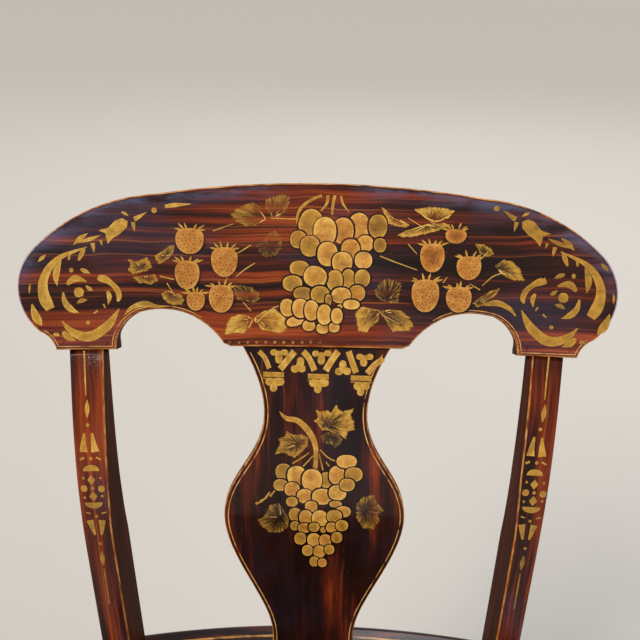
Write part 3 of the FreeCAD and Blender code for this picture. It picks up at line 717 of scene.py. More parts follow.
def roundedLoop(corners, radii, step=5.0):
    loop = []
    for i, corner in enumerate(corners):
        before, here, after = (Vector(corners[(i + k) % len(corners)][:2]) for k in (-1, 0, 1))
        toward = (before - here).normalized()
        onward = (after - here).normalized()
        half = toward.angle(onward) / 2
        reach = radii[i] / math.tan(half)
        start, end = here + toward * reach, here + onward * reach
        sag = radii[i] * (1 - math.sin(half))
        if loop:
            loop += arcPoints(loop[-1], tuple(start), corners[i - 1][2], step)
        else:
            loop.append(tuple(start))
        loop += arcPoints(loop[-1], tuple(end), sag, 2.5)
    loop += arcPoints(loop[-1], loop[0], corners[-1][2], step)[:-1]
    return loop


def makeSeat():
    front = seat["front"] + seat["frontBow"]
    corners = [(frontHalf, front, 0), (rearHalf, seat["rear"], seat["rearBow"]), (-rearHalf, seat["rear"], 0),
               (-frontHalf, front, seat["frontBow"])]
    radii = [seat["frontCorner"], seat["rearCorner"], seat["rearCorner"], seat["frontCorner"]]
    loop = roundedLoop(corners, radii)
    count = len(loop)
    normals = []
    for i in range(count):
        run = Vector(loop[(i + 1) % count]) - Vector(loop[i - 1])
        normals.append(Vector((run.y, -run.x)).normalized())
    bottom = seat["top"] - seat["thick"]
    rings = [(seat["edge"] + seat["under"], bottom), (seat["edge"], bottom)]
    rings += [(seat["edge"] * (1 - math.sin(t)), bottom + seat["edge"] * (1 - math.cos(t)))
              for t in seat["edgeTurns"]]
    rings += [(0, bottom + seat["band"]), (0, seat["top"] - seat["ease"] - 1)]
    rings += [(seat["ease"] * (1 - math.cos(t)), seat["top"] - seat["ease"] * (1 - math.sin(t)))
              for t in seat["easeTurns"]]
    rim = (seat["rear"] - seat["front"] - seat["dishShelf"] - seat["dishMargin"]) / 2
    middle = Vector((0, seat["front"] + seat["dishMargin"] + rim))
    sphere = (rim ** 2 + seat["dishDepth"] ** 2) / (2 * seat["dishDepth"])

    def topAt(x, y):
        away = math.hypot(x - middle.x, y - middle.y)
        sink = sphere - seat["dishDepth"] - math.sqrt(max(0, sphere ** 2 - away ** 2))
        soft = seat["rimSoft"]
        top = seat["top"] - seat["planed"] + seat["rimLift"] * soft
        return top + (sink - math.sqrt(sink ** 2 + soft ** 2)) / 2

    vertices = []
    for inset, z in rings:
        for (x, y), normal in zip(loop, normals):
            spot = Vector((x, y)) - normal * inset
            onTop = z > seat["top"] - 0.5
            vertices.append((spot.x, spot.y, min(z, topAt(spot.x, spot.y)) if onTop else z))
    last = [Vector(v[:2]) for v in vertices[-count:]]
    centre = Vector((0, seat["heart"]))
    steps = seat["steps"]
    for i in range(1, steps):
        share = 1 - i / steps
        for spot in last:
            here = centre + (spot - centre) * share
            vertices.append((here.x, here.y, topAt(here.x, here.y)))
    vertices.append((centre.x, centre.y, topAt(centre.x, centre.y)))
    rows = len(rings) + steps - 1
    faces = gridFaces(rows, count)
    tip = len(vertices) - 1
    faces += [((rows - 1) * count + j, (rows - 1) * count + (j + 1) % count, tip) for j in range(count)]
    faces.append(list(reversed(range(count))))
    own = [(v[1], v[2], v[0]) for v in vertices]
    placePiece("seatPlank", vertices, faces, own, [paint["seat"]], ["seat_plank"])
    return loop, normals, topAt


seatLoop, seatNormals, seatTop = makeSeat()
print("seat made")


# Turned legs and stretchers: (share of the length, radius in mm) from the floor or the leg inward
turning = {
    "frontLeg": {
        "in": (56, 68), "splay": 40, "rake": -38, "radius": 19, "neck": 11, "grainFrom": 70,
        "bands": ((0.092, 1.6), (0.583, 1.4), (0.592, 1.4), (0.640, 1.4), (0.826, 2.2), (0.874, 1.6)),
        "shares": (
            (0.000, 0.60), (0.012, 0.66), (0.030, 0.64), (0.060, 0.60), (0.080, 0.60), (0.105, 0.69),
            (0.130, 0.755), (0.200, 0.775), (0.380, 0.775), (0.560, 0.77), (0.598, 0.765), (0.606, 0.79),
            (0.612, 0.77), (0.622, 0.66), (0.634, 0.645), (0.655, 0.80), (0.680, 0.97), (0.705, 1.00),
            (0.735, 0.99), (0.765, 0.88), (0.800, 0.68), (0.822, 0.60), (0.832, 0.60), (0.840, 0.66),
            (0.850, 0.675), (0.860, 0.66), (0.868, 0.60), (1.000, 0.58))},
    "rearLeg": {
        "in": (54, 64), "splay": 34, "rake": 76, "radius": 16.5, "neck": 11, "grainFrom": 130,
        "bands": ((0.070, 1.4), (0.925, 1.6)),
        "shares": (
            (0.000, 0.68), (0.012, 0.72), (0.050, 0.74), (0.095, 0.90), (0.140, 0.955), (0.300, 0.97),
            (0.600, 0.97), (0.820, 0.95), (0.890, 0.90), (0.915, 0.78), (0.935, 0.69), (1.000, 0.667))},
    "frontStretcher": {
        "height": 222, "radius": 14.5,
        "bands": ((0.308, 1.4), (0.322, 2.0), (0.390, 1.4), (0.610, 1.4), (0.678, 2.0), (0.692, 1.4)),
        "shares": (
            (0.500, 0.48), (0.441, 0.49), (0.436, 0.60), (0.420, 0.74), (0.380, 0.785), (0.300, 0.80),
            (0.230, 0.78), (0.196, 0.75), (0.186, 0.66), (0.178, 0.63), (0.168, 0.76), (0.150, 0.97),
            (0.110, 1.01), (0.060, 1.02), (0, 1.02))},
    "sideStretcher": {
        "height": 150, "radius": 11, "bands": (),
        "shares": ((0.500, 0.63), (0.441, 0.64), (0.434, 0.74), (0.415, 0.94), (0.350, 0.99), (0.200, 1.01),
                   (0, 1.02))},
    "rearStretcher": {
        "height": 186, "radius": 10.5, "bands": (),
        "shares": ((0.500, 0.66), (0.441, 0.67), (0.434, 0.76), (0.415, 0.94), (0.350, 0.99), (0.200, 1.01),
                   (0, 1.02))},
    "round": 40, "step": 3.5, "intoFloor": 4, "aboveSeat": 3, "flush": 0.15,
}
# the stretchers: kind, side, CAD node, the legs at the ends, and where the graining is taken from, in mm
stretchers = (
    ("frontStretcher", "", "front_stretcher", ("frontLeg", "left"), ("frontLeg", "right"), 210),
    ("rearStretcher", "", "rear_stretcher", ("rearLeg", "left"), ("rearLeg", "right"), 330),
    ("sideStretcher", "Left", "side_stretcher_left", ("frontLeg", "left"), ("rearLeg", "left"), 410),
    ("sideStretcher", "Right", "side_stretcher_right", ("frontLeg", "right"), ("rearLeg", "right"), 520),
)


def legEnds(kind, sign):
    leg = turning[kind]
    across = (frontHalf if kind == "frontLeg" else rearHalf) - leg["in"][0]
    deep = seat["front"] + leg["in"][1] if kind == "frontLeg" else seat["rear"] - leg["in"][1]
    foot = Vector((sign * (across + leg["splay"]), deep + leg["rake"], 0))
    return foot, Vector((sign * across, deep, seat["top"]))


def lathe(name, start, end, profile, node, shift, bands=()):
    # a turned piece from start to end; the profile is (distance, radius), the bands are striped in yellow
    axis = (end - start).normalized()
    side = axis.orthogonal().normalized()
    other = axis.cross(side)
    line = smoothLine(profile, turning["step"])
    bands = [(middle - width / 2, middle + width / 2) for middle, width in bands]
    for edge in [place for band in bands for place in band]:
        i = next(i for i in range(len(line)) if line[i][0] > edge)
        line.insert(i, (edge, between(line[i - 1:i + 1], edge)))
    vertices, own = [], []
    for height, radius in line:
        for j in range(turning["round"]):
            turn = 2 * math.pi * j / turning["round"]
            out = side * math.cos(turn) + other * math.sin(turn)
            spot = start + axis * height + out * radius
            spot.z = min(max(spot.z, 0), seat["top"] - turning["flush"])
            vertices.append(tuple(spot))
            own.append((radius * math.cos(turn) + shift, radius * math.sin(turn), height + shift * 3))
    rows, count = len(line), turning["round"]
    middles = [(a[0] + b[0]) / 2 for a, b in zip(line, line[1:])]
    slots = [1 if any(a < middle < b for a, b in bands) else 0 for middle in middles for j in range(count)]
    placePiece(name, vertices, gridFaces(rows, count) + endCaps(rows, count), own,
               [paint["turned"], striping], [node], slots=slots + [0, 0])


def makeTurnings():
    legs = {}
    for kind, label in (("frontLeg", "front_leg"), ("rearLeg", "rear_leg")):
        for side, sign in (("left", -1), ("right", 1)):
            foot, top = legEnds(kind, sign)
            legs[kind, side] = (foot, top)
            length = (top - foot).length
            clear = length * (seat["top"] - seat["thick"]) / seat["top"]
            leg = turning[kind]
            profile = [(-turning["intoFloor"], leg["shares"][0][1] * leg["radius"])]
            profile += [(share * clear, out * leg["radius"]) for share, out in leg["shares"]]
            profile.append((length + turning["aboveSeat"], leg["neck"]))
            bands = [(share * clear, width) for share, width in leg["bands"]]
            lathe(kind + side.capitalize(), foot, top, profile, f"{label}_{side}", sign * leg["grainFrom"],
                  bands)
    for kind, side, node, first, last, grainFrom in stretchers:
        look = turning[kind]
        share = look["height"] / seat["top"]
        start, end = (foot + (top - foot) * share for foot, top in (legs[first], legs[last]))
        span = (end - start).length
        half = [(span * (0.5 - s), out * look["radius"]) for s, out in look["shares"]]
        profile = half + [(span - place, radius) for place, radius in reversed(half[:-1])]
        bands = [(share * span, width) for share, width in look["bands"]]
        lathe(kind + side, start, end, profile, node, grainFrom, bands)


makeTurnings()
for node in ("leg_wedges", "crest_pegs"):
    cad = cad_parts[node]
    cad.data.materials.clear()
    cad.data.materials.append(pins)
print("turned pieces made")


# Stencilled bronze, laid as films of 0.04 mm, each on its own level; places are (across, up) in mm on a face
film = {"lift": 0.05, "layer": 0.006, "thick": 0.04, "step": 1.6}


def crestFace(u, v, lift):
    return fromCrest(u, crestBow(u) - lift, v), (v, -lift, u)


def splatFace(a, b, lift):
    y = bentLine(b + splatDrop, -lift)
    s, depth = bentPlace(y, b + splatDrop)
    return (a, splatY + y, back["seatHeight"] + b), (a, depth, s)


def stileFace(sign):
    return lambda x, s, lift: (fromStile(sign, x, *bentPath(s, -lift)),
                               (x + stile["apart"] * sign, -lift, s))


def newFilm(face):
    return {"face": face, "layers": 0, "vertices": [], "faces": [], "own": [], "tint": [], "flow": []}


def addPoint(sheet, a, b, cover, tone, kind, flow):
    spot, own = sheet["face"](a, b, film["lift"] + film["layer"] * sheet["layers"])
    sheet["vertices"].append(spot)
    sheet["own"].append(own)
    sheet["tint"].append((cover, tone, kind, 1))
    sheet["flow"].append(flow)


def addFan(sheet, centre, rim, rings, kind=0.0, streaks=5.0):
    # rings from the rim inward, each (share of the way out, cover, tone); the last one is the centre
    sheet["layers"] += 1
    start = len(sheet["vertices"])
    seed = random.uniform(0, 90)
    count = len(rim)
    for share, cover, tone in rings[:-1]:
        for i, (a, b) in enumerate(rim):
            turn = 2 * math.pi * i / count
            flow = (math.cos(turn) * streaks, math.sin(turn) * streaks, seed + share * 1.5)
            addPoint(sheet, centre[0] + (a - centre[0]) * share, centre[1] + (b - centre[1]) * share,
                     cover, tone, kind, flow)
    addPoint(sheet, *centre, rings[-1][1], rings[-1][2], kind, (0, 0, seed))
    for ring in range(len(rings) - 2):
        for i in range(count):
            near, far = start + ring * count, start + (ring + 1) * count
            k = (i + 1) % count
            sheet["faces"].append((near + i, near + k, far + k, far + i))
    last, tip = start + (len(rings) - 2) * count, len(sheet["vertices"]) - 1
    sheet["faces"] += [(last + i, last + (i + 1) % count, tip) for i in range(count)]


def addStroke(sheet, points, cover=1.0, tone=0.72, kind=0.0):
    # a brush or stencil stroke through (across, up, width) points
    sheet["layers"] += 1
    if len(points) == 2:
        points = (points[0], [(p + q) / 2 for p, q in zip(*points)], points[1])
    line = smoothLine(points, film["step"])
    start = len(sheet["vertices"])
    seed = random.uniform(0, 90)
    run = 0
    for i, (a, b, width) in enumerate(line):
        ahead = Vector(line[min(i + 1, len(line) - 1)][:2]) - Vector(line[max(i - 1, 0)][:2])
        side = Vector((-ahead.y, ahead.x)).normalized() * max(width, 0.05) / 2
        run += ahead.length / 2
        for k in (-1, 0, 1):
            addPoint(sheet, a + side.x * k, b + side.y * k, cover, tone + (0.06 if k else -0.04), kind,
                     (run / 9, k * 1.2, seed))
    for i in range(len(line) - 1):
        for k in (0, 1):
            p = start + i * 3 + k
            sheet["faces"].append((p, p + 3, p + 4, p + 1))


def ovalRim(a, b, width, height, tilt=0.0, count=26, egg=0.05, square=2.25):
    lean, turn = random.uniform(0, 6.28), math.radians(tilt)
    rim = []
    for i in range(count):
        t = 2 * math.pi * i / count
        out = 1 + egg * math.cos(t - lean)
        power = 2 / square  # a little squarer than an ellipse, as cut with a knife
        x = math.copysign(abs(math.cos(t)) ** power, math.cos(t)) * width / 2 * out
        y = math.copysign(abs(math.sin(t)) ** power, math.sin(t)) * height / 2 * out
        rim.append((a + x * math.cos(turn) - y * math.sin(turn), b + x * math.sin(turn) + y * math.cos(turn)))
    return rim


def addDot(sheet, a, b, width, height, cover=1.0, tone=0.72, kind=0.0):
    rim = ovalRim(a, b, width, height, count=12)
    addFan(sheet, (a, b), rim, [(1, cover, tone), (0, cover, tone - 0.05)], kind)


def addShape(sheet, rim, cover=1.0, tone=0.72, kind=0.0):
    middle = (sum(p[0] for p in rim) / len(rim), sum(p[1] for p in rim) / len(rim))
    addFan(sheet, middle, rim, [(1, cover, tone), (0.5, cover, tone - 0.04), (0, cover, tone - 0.06)], kind)


grapeLook = {"grow": 1.13, "line": 1.9, "rim": 0.5, "coppery": 0.72}


def addGrape(sheet, a, b, width, height, tilt, tone):
    # a dark outline first, then the grape: pale rim, powder thinning towards the middle
    width, height = width * grapeLook["grow"], height * grapeLook["grow"]
    tone = 0.34 + 0.62 * tone
    halo = ovalRim(a, b, width + grapeLook["line"], height + grapeLook["line"], tilt, egg=0)
    addFan(sheet, (a, b), halo, [(1, 0.0, 0), (0.95, 0.9, 0), (0.6, 0.96, 0), (0, 0.96, 0)])
    rim = ovalRim(a, b, width - grapeLook["rim"], height - grapeLook["rim"], tilt)
    thin = 0.66 + 0.3 * tone
    rings = [(1, 0.95, tone + 0.06), (0.94, 1, tone + 0.2), (0.87, 0.98, tone + 0.02),
             (0.62, thin + 0.02, tone - 0.08), (0.3, thin - 0.04, tone - 0.12), (0, thin - 0.04, tone - 0.14)]
    kind = 0.3 + 0.35 * random.random() if tone > grapeLook["coppery"] else 0.12
    addFan(sheet, (a, b), rim, rings, kind, streaks=2.5)


def toothed(rim, tooth=2.1, deep=0.55):  # leaf edge cut with small teeth
    edge = []
    for i, (a, b) in enumerate(rim):
        c, d = rim[(i + 1) % len(rim)]
        run = Vector((c - a, d - b))
        count = max(1, round(run.length / tooth))
        out = Vector((run.y, -run.x)).normalized()
        area = sum(p[0] * q[1] - q[0] * p[1] for p, q in zip(rim, [*rim[1:], rim[0]]))
        out = out if area > 0 else -out
        for k in range(count):
            spot = Vector((a, b)) + run * k / count
            edge.append(tuple(spot - out * deep * (0.3 if k == 0 else 1)))
            edge.append(tuple(spot + run / count * 0.6 + out * deep * random.uniform(0.4, 1)))
    return edge


leafRings = (
    # share of the way out, cover, lightness: the powder is thick near the edge and fades towards the stem
    (1, 0.22, -0.1), (0.93, 0.85, 0.06), (0.8, 0.82, 0.03), (0.62, 0.62, -0.04), (0.42, 0.46, -0.1),
    (0.2, 0.3, -0.13), (0, 0.2, -0.15),
)


def addLeaf(sheet, centre, rim, strength, tone, veins=5, kind=0.0):
    edge = toothed(rim)
    rings = [(out, cover * strength, tone + light) for out, cover, light in leafRings]
    addFan(sheet, centre, edge, rings, kind, streaks=8)
    level = sheet["layers"]
    for i in range(veins):
        sheet["layers"] = level  # the veins share one layer
        tip = rim[(i * len(rim) // veins + 1) % len(rim)]
        reach = random.uniform(0.55, 0.8)
        end = [centre[k] + (tip[k] - centre[k]) * reach for k in (0, 1)]
        bend = random.uniform(-0.8, 0.8)
        middle = [(centre[k] + end[k]) / 2 + bend for k in (0, 1)]
        addStroke(sheet, ((*centre, 1.2), (*middle, 0.95), (*end, 0.35)),
                  cover=0.6 + 0.4 * strength, tone=0.85 + 0.3 * strength, kind=0.1)


strawberry = {"line": 1.2, "shoulder": 0.096, "seedRows": (2.7, 2.5), "jitter": 0.9, "seeded": 0.72}


def addStrawberry(sheet, a, b, width, height, worn=0.0):
    halo = ovalRim(a, b - 0.3, width + strawberry["line"], height + strawberry["line"], egg=0)
    addFan(sheet, (a, b), halo, [(1, 0, 0), (0.94, 0.7, 0), (0.5, 0.8, 0), (0, 0.8, 0)])
    rim = [(x, y + strawberry["shoulder"] * height * ((x - a) / width * 2) ** 2)
           for x, y in ovalRim(a, b, width, height, egg=0)]
    rings = [(1, 0.92, 0.84), (0.94, 1, 0.74), (0.85, 1, 0.66), (0.5, 0.97, 0.66 - worn * 0.2),
             (0, 0.95, 0.62 - worn * 0.3)]
    addFan(sheet, (a, b), rim, rings, kind=0.82, streaks=2.5)
    level, jitter = sheet["layers"], strawberry["jitter"]
    for row in range(-4, 5):
        for column in range(-4, 5):
            x = (column + 0.5 * (row % 2)) * strawberry["seedRows"][0] + random.uniform(-jitter, jitter)
            y = row * strawberry["seedRows"][1] + random.uniform(-jitter, jitter)
            out = (2 * x / width) ** 2 + (2 * y / height) ** 2
            if out < strawberry["seeded"] and random.random() > worn * 0.5:
                sheet["layers"] = level  # the seeds share one layer, and the hull's leaves two
                size = (random.uniform(0.5, 0.85), random.uniform(0.7, 1.2))
                addDot(sheet, a + x, b + y, *size, cover=0.9, tone=0.05)
    for i in range(6):  # leaves of the hull
        turn = math.radians(10 + 32 * i + random.uniform(-10, 10))
        reach = random.uniform(4.8, 7.6)
        foot = (a + math.cos(turn) * width * 0.30, b + height * 0.44)
        tip = (foot[0] + math.cos(turn) * reach, foot[1] + math.sin(turn) * reach * 0.9)
        middle = [(foot[k] + tip[k]) / 2 for k in (0, 1)]
        sheet["layers"] = level + 1 + i % 2
        addStroke(sheet, ((*foot, 0.5), (*middle, 1.7), (*tip, 0.1)), cover=0.97, tone=0.7, kind=0.2)


def finishFilm(name, sheet, material):
    attributes = {"tint": ("FLOAT_COLOR", sheet["tint"]), "flow": ("FLOAT_VECTOR", sheet["flow"])}
    piece = placePiece(name, sheet["vertices"], sheet["faces"], sheet["own"], [material], soft=False,
                       attributes=attributes)
    skin = piece.modifiers.new("paintThickness", "SOLIDIFY")
    skin.thickness = film["thick"] * mm
    skin.offset = -1


crestMotifs = {
    # grapes from the back of the bunch to the front: across, up, width, height, tilt, tone
    "grapes": (
        (-6.3, 96.6, 15.4, 18.8, -25, 0.52), (-15, 83.8, 11.6, 12.3, 0, 0.52),
        (31.5, 95.4, 14.2, 17.6, 10, 0.74), (45.7, 95, 13, 16.4, 0, 0.36),
        (19.6, 91.1, 14.6, 18.4, 0, 0.64), (5.4, 89.8, 16, 20, 0, 0.86), (-6, 78.4, 13.6, 14.6, 0, 0.52),
        (36.7, 81.2, 11.5, 11.5, 0, 0.86), (47.7, 80.4, 8.8, 10, 0, 0.36), (25, 77.1, 13.1, 14.2, 0, 0.64),
        (7.1, 72.7, 14.2, 17, 0, 0.74), (35.4, 68.8, 12.3, 11.8, 0, 0.86),
        (18.8, 66.3, 14.2, 14.7, 0, 0.74), (-13.8, 61.5, 13.6, 10.7, 0, 0.52),
        (23.8, 54.3, 9.3, 13.6, 0, 0.52), (34.9, 54.8, 10.8, 12.4, 0, 0.52),
        (13.4, 52.1, 11.2, 14.7, 0, 0.52), (-1.3, 55.2, 16.3, 14.7, -20, 0.7),
        (-19.3, 50.1, 13.7, 11.2, 0, 0.52), (-11.6, 41.9, 13.2, 9.3, 0, 0.36),
        (2, 41.8, 13.2, 11.7, 0, 0.52), (31.1, 43.2, 11.2, 11.3, 0, 0.64),
        (18.3, 41.2, 13.7, 11.3, 0, 0.74), (8.6, 37.1, 4.7, 8.3, 0, 0.52), (26.7, 34.2, 11.6, 7, 0, 0.86),
        (17.5, 32, 3.9, 3.9, 0, 0.86), (-17.1, 20.4, 12.5, 7, 15, 0.86), (-6, 17.2, 9, 7.8, 0, 0.86),
        (4.5, 15.3, 9, 7.8, 0, 0.86), (13.7, 16, 7.8, 7, 0, 0.86), (-22.9, 31, 10.1, 12.5, 8, 0.86),
        (-13.1, 30.2, 11.3, 13.7, 5, 0.86), (-4.4, 28.6, 10.1, 14.4, 0, 0.74), (6, 26, 10.1, 14.4, 0, 0.86),
        (15.4, 25.3, 8.3, 11.3, 0, 0.86),
    ),
    # strokes are rows of (across, up, width)
    "grapeStems": (
        ((2.5, 117.7, 2), (-5.9, 114.1, 2.3), (-13.5, 107.9, 2.3), (-16.5, 100.2, 1.8), (-15.6, 93.3, 0.9)),
        ((7.1, 117.7, 2.3), (6.5, 112, 2), (1.9, 105.8, 1.2)),
        ((12.5, 117.8, 2.3), (11.1, 110.5, 2.2), (10.5, 102.9, 1.4)),
        ((17.1, 117.5, 2), (18.8, 111.4, 1.7), (23.5, 105.3, 0.8)),
    ),
    # strawberries: across, up, width, height
    "berries": (
        (-98.3, 81.1, 21.4, 19.5), (-100.1, 55.2, 18.5, 22), (-71.9, 65.5, 20.2, 22.8),
        (-93.6, 35, 13.7, 14.2), (-74.2, 37.1, 18.8, 21.3), (105.1, 87.6, 15.7, 10.6),
        (87.8, 71, 18.5, 21.8), (115.4, 63.6, 18.2, 17.9), (108.5, 39.3, 19.1, 19.6),
        (83.2, 41.9, 20.9, 25.2),
    ),
    "wornBerries": (5, 6),
    # leaves: where the stem joins, and the outline
    "leaves": (
        ((-134.8, 60.7), ((-144.5, 66.8), (-138.5, 64.6), (-134.8, 66.1), (-130.3, 68.6), (-128, 64.7),
          (-126.5, 60.9), (-130.3, 57.7), (-134.8, 56.9), (-140.8, 55.2), (-144.5, 58.3), (-142.3, 62.2))),
        ((-116.6, 69.5), ((-125, 69.4), (-119.7, 72.6), (-113.6, 77.4), (-109.8, 78.2), (-110.5, 72.8),
          (-113.6, 68), (-118.1, 64.9), (-121.2, 63.2), (-123.5, 66.3))),
        ((-128.8, 53), ((-140.8, 52.9), (-133.3, 53.8), (-124.3, 55.4), (-122, 50.8), (-127.3, 47.2),
          (-133.3, 49.1), (-136.3, 48.2))),
        ((-113.6, 41.4), ((-119.7, 40.6), (-115.9, 43), (-110.5, 41.4), (-104.4, 39.9), (-102.1, 35.3),
          (-104.4, 32.1), (-110.5, 31.7), (-115.2, 33.5), (-118.2, 36.7))),
        ((-51.4, 35.8), ((-66.4, 48.3), (-59.3, 48.3), (-51.5, 46.9), (-45.1, 42.2), (-44.3, 37.4),
          (-49.7, 34.2), (-56.1, 36.5), (-62.4, 37.2), (-64.7, 41.9))),
        ((-40.9, 98.9), ((-68.2, 102.3), (-62.8, 107), (-56.6, 110.3), (-50.3, 112), (-45.6, 108.2),
          (-47.2, 103.4), (-42.4, 98.9), (-48.7, 94.1), (-56.5, 93.2), (-64.3, 96.9))),
        ((-34.6, 100.6), ((-41, 114.4), (-34.8, 116.9), (-26.9, 118.6), (-22.2, 117.1), (-22.2, 111.6),
          (-25.3, 105.4), (-29.9, 100.7), (-34.6, 98.2), (-37.8, 103.6), (-41, 108.3))),
        ((-36.8, 78.6), ((-49.3, 80), (-42.3, 82.5), (-37.6, 89.6), (-33, 90.4), (-28.2, 86.6),
          (-27.3, 77.2), (-32.8, 70.8), (-40.6, 69.1), (-45.3, 72.9))),
        ((-50.5, 21.5), ((-71.6, 9.3), (-70.2, 18.1), (-67, 22.9), (-60.7, 25.3), (-54.5, 24.3),
          (-49.6, 21.5), (-52, 15.1), (-57.5, 10.2), (-63.8, 10.5))),
        ((-48.1, 22.3), ((-47.3, 23.9), (-40.2, 28.3), (-32.3, 29.7), (-24.3, 23.4), (-22.6, 13.8),
          (-27.4, 10.6), (-35.3, 12.1), (-41.7, 12.8), (-45.7, 17.5))),
        ((60.9, 98.8), ((48.1, 109.5), (52.1, 106.4), (55.4, 100.2), (63.9, 99.6), (70.2, 95.7),
          (67.2, 93.8), (59.4, 94.9), (53.1, 97.1))),
        ((88.7, 99), ((73, 108.2), (85.3, 110.2), (97.6, 109.1), (104, 107.2), (99.4, 101.4), (93.2, 103),
          (85.4, 104.9), (76.2, 105.4))),
        ((82.6, 95.9), ((60.3, 87.8), (67.2, 91.1), (79.6, 92.7), (88.8, 94.7), (95.6, 97.8), (101, 96.1),
          (92, 91.8), (82.8, 89.3), (72, 86.8), (64.2, 86.3))),
        ((54.4, 37.4), ((44.8, 42), (44, 46.7), (47.8, 51.6), (54, 55.6), (60.3, 53.3), (65.9, 51.9),
          (63.7, 43.9), (63.1, 36), (56, 35.1), (49.7, 37.4))),
        ((48.3, 29.4), ((29.3, 27.4), (34, 32.3), (41.9, 31.1), (48.6, 29.4), (47.7, 21.4), (41.4, 16.6),
          (38.3, 12), (32, 13.2), (30.7, 19.5))),
        ((51.5, 28.7), ((49.8, 29.4), (57.7, 30.7), (65.5, 29.7), (71.9, 25.1), (75.6, 18.1), (72.2, 13.7),
          (65.9, 14.2), (59.7, 12.7), (54.7, 19.9))),
        ((136.8, 64), ((134.9, 65.6), (141, 70.6), (146.9, 69.6), (153.1, 64.3), (156.8, 54.8),
          (150.4, 54.7), (144.5, 56.4), (139.1, 60.2))),
        ((125.9, 76.3), ((119.6, 82.3), (125.7, 82.1), (131.8, 78.6), (134.2, 74.5), (128.9, 72.4),
          (123.6, 74.6))),
        ((124.1, 37.3), ((119.5, 37.2), (125.4, 42.1), (132.8, 46.9), (139.7, 49.3), (136.2, 43.5),
          (130.3, 39.8), (127.2, 35.5), (122.6, 33.9))),
    ),
    # how much powder each leaf holds, and its tone
    "leafLook": (
        (0.95, 0.6), (0.88, 0.58), (0.8, 0.6), (0.85, 0.58), (0.62, 0.5), (0.64, 0.52), (0.6, 0.5),
        (0.4, 0.48), (0.98, 0.78), (0.95, 0.74), (0.9, 0.74), (0.85, 0.76), (0.9, 0.72), (0.5, 0.56),
        (0.92, 0.68), (0.82, 0.62), (0.85, 0.62), (0.8, 0.56), (0.75, 0.56),
    ),
    "thinStems": (
        ((-51.7, 78.9, 0.8), (-57.8, 75, 0.8), (-63.2, 71.8, 0.5)), ((-69.2, 54, 0.8), (-72.2, 49.3, 0.5)),
        ((-48.5, 65.1, 0.8), (-56.9, 59.6, 0.8), (-63, 54.1, 0.5)),
        ((-46.6, 19.3, 0.9), (-35.1, 29.6, 0.9), (-25.8, 33.6, 0.5)),
        ((-51.3, 27.9, 0.9), (-57.5, 34.8, 0.5)), ((-120.6, 54.1, 0.8), (-108.6, 51.2, 0.5)),
        ((-115.4, 48.8, 0.8), (-109.4, 38.9, 0.5)), ((-80.8, 89.2, 0.8), (-65.6, 94.8, 0.5)),
        ((-10.3, 97.2, 0.8), (-15.7, 99.4, 0.8), (-21.9, 99.3, 0.8), (-37.3, 99.9, 0.5)),
        ((69.2, 81.5, 0.8), (76.2, 73.9, 0.5)), ((48, 71.9, 0.8), (59.6, 67.5, 0.8), (76.6, 61.6, 0.5)),
        ((56, 21, 0.9), (47.3, 30.2, 0.5)), ((50.5, 26.3, 0.9), (64.5, 19.6, 0.5)),
        ((41.1, 30.8, 0.9), (36.7, 22.2, 0.5)), ((81.1, 93.8, 0.8), (68.7, 101.3, 0.5)),
        ((95.3, 94.7, 0.8), (85.5, 98.4, 0.5)), ((96.5, 52, 0.8), (99.4, 56.6, 0.5)),
        ((122.2, 68.5, 0.8), (129.3, 76.1, 0.5)), ((124.3, 47.2, 0.8), (116.8, 51.6, 0.5)),
        ((140.1, 60.4, 0.8), (132.9, 57.2, 0.8), (125.7, 50.3, 0.5)),
    ),
    "dropDotSize": (2.6, 2.4),
    "dropDots": (
        (-67.4, 3.5), (-60.4, 3.5), (-53.5, 3.6), (-46.5, 3.7), (-39.5, 3.8), (-32.5, 3.8), (-25.4, 3.9),
        (-18.4, 4), (-11.4, 4.1), (-4.4, 4.2), (2.7, 4.3),
    ),
    # the left ear's scroll and rosette
    "ear": (
        ((-173.6, 75.3, 0.4), (-182.8, 71.8, 2.2), (-192.7, 67.2, 3.6), (-200, 59.6, 5.1),
         (-204.1, 51, 5.9), (-204.7, 42, 7.2), (-202.8, 34.5, 8.4), (-199.7, 28.5, 6.4)),
        ((-183.5, 76.6, 0), (-178.5, 81.6, 3.6), (-172.8, 85.8, 0)),
        ((-181.3, 78.2, 0), (-172.1, 81, 3), (-163.6, 84.5, 0)),
        ((-191.6, 65.7, 0), (-194.9, 57.8, 4.5), (-195.6, 51.1, 3.5), (-194.8, 45.8, 0)),
        ((-174.7, 75.7, 0.4), (-177.2, 70.8, 3.5), (-179.7, 65.1, 1.4)),
        ((-169.7, 78.4, 2.9), (-169, 74.7, 2.2), (-168.7, 71.3, 0)),
        ((-163.9, 80.8, 2.2), (-163.3, 78.5, 1.4), (-162.9, 76.3, 0)),
        ((-186, 69.1, 1.7), (-186.7, 65.4, 1.4)),
        ((-207.9, 63.6, 0), (-205.1, 66.6, 2.8), (-202.3, 69.2, 0)),
        ((-213.2, 47.9, 0), (-213.9, 44.2, 1.7), (-214, 39.7, 0)),
        ((-212.4, 32.3, 0.7), (-210.8, 25.5, 4.9), (-208.5, 20.3, 5.7), (-205.8, 16.1, 0.7)),
        ((-191.2, 11.5, 2.2), (-187.7, 7.3, 4.8), (-182.1, 4.2, 0)),
        ((-148.8, 102.1, 0.8), (-146.2, 101, 2.3), (-143.6, 99.2, 0)),
        ((-140.4, 94.8, 2.9), (-139.8, 91, 2.2), (-139.3, 87.3, 0)),
        ((-116.8, 107, 2.3), (-109.4, 108.3, 3.2), (-96.7, 109.4, 0)),
        ((-188, 47, 2.2), (-182.3, 51.6, 5.2), (-174.2, 49.4, 0.8)),
        ((-178.4, 58.7, 1.5), (-175.2, 57.3, 3.4), (-171.3, 55.1, 0)),
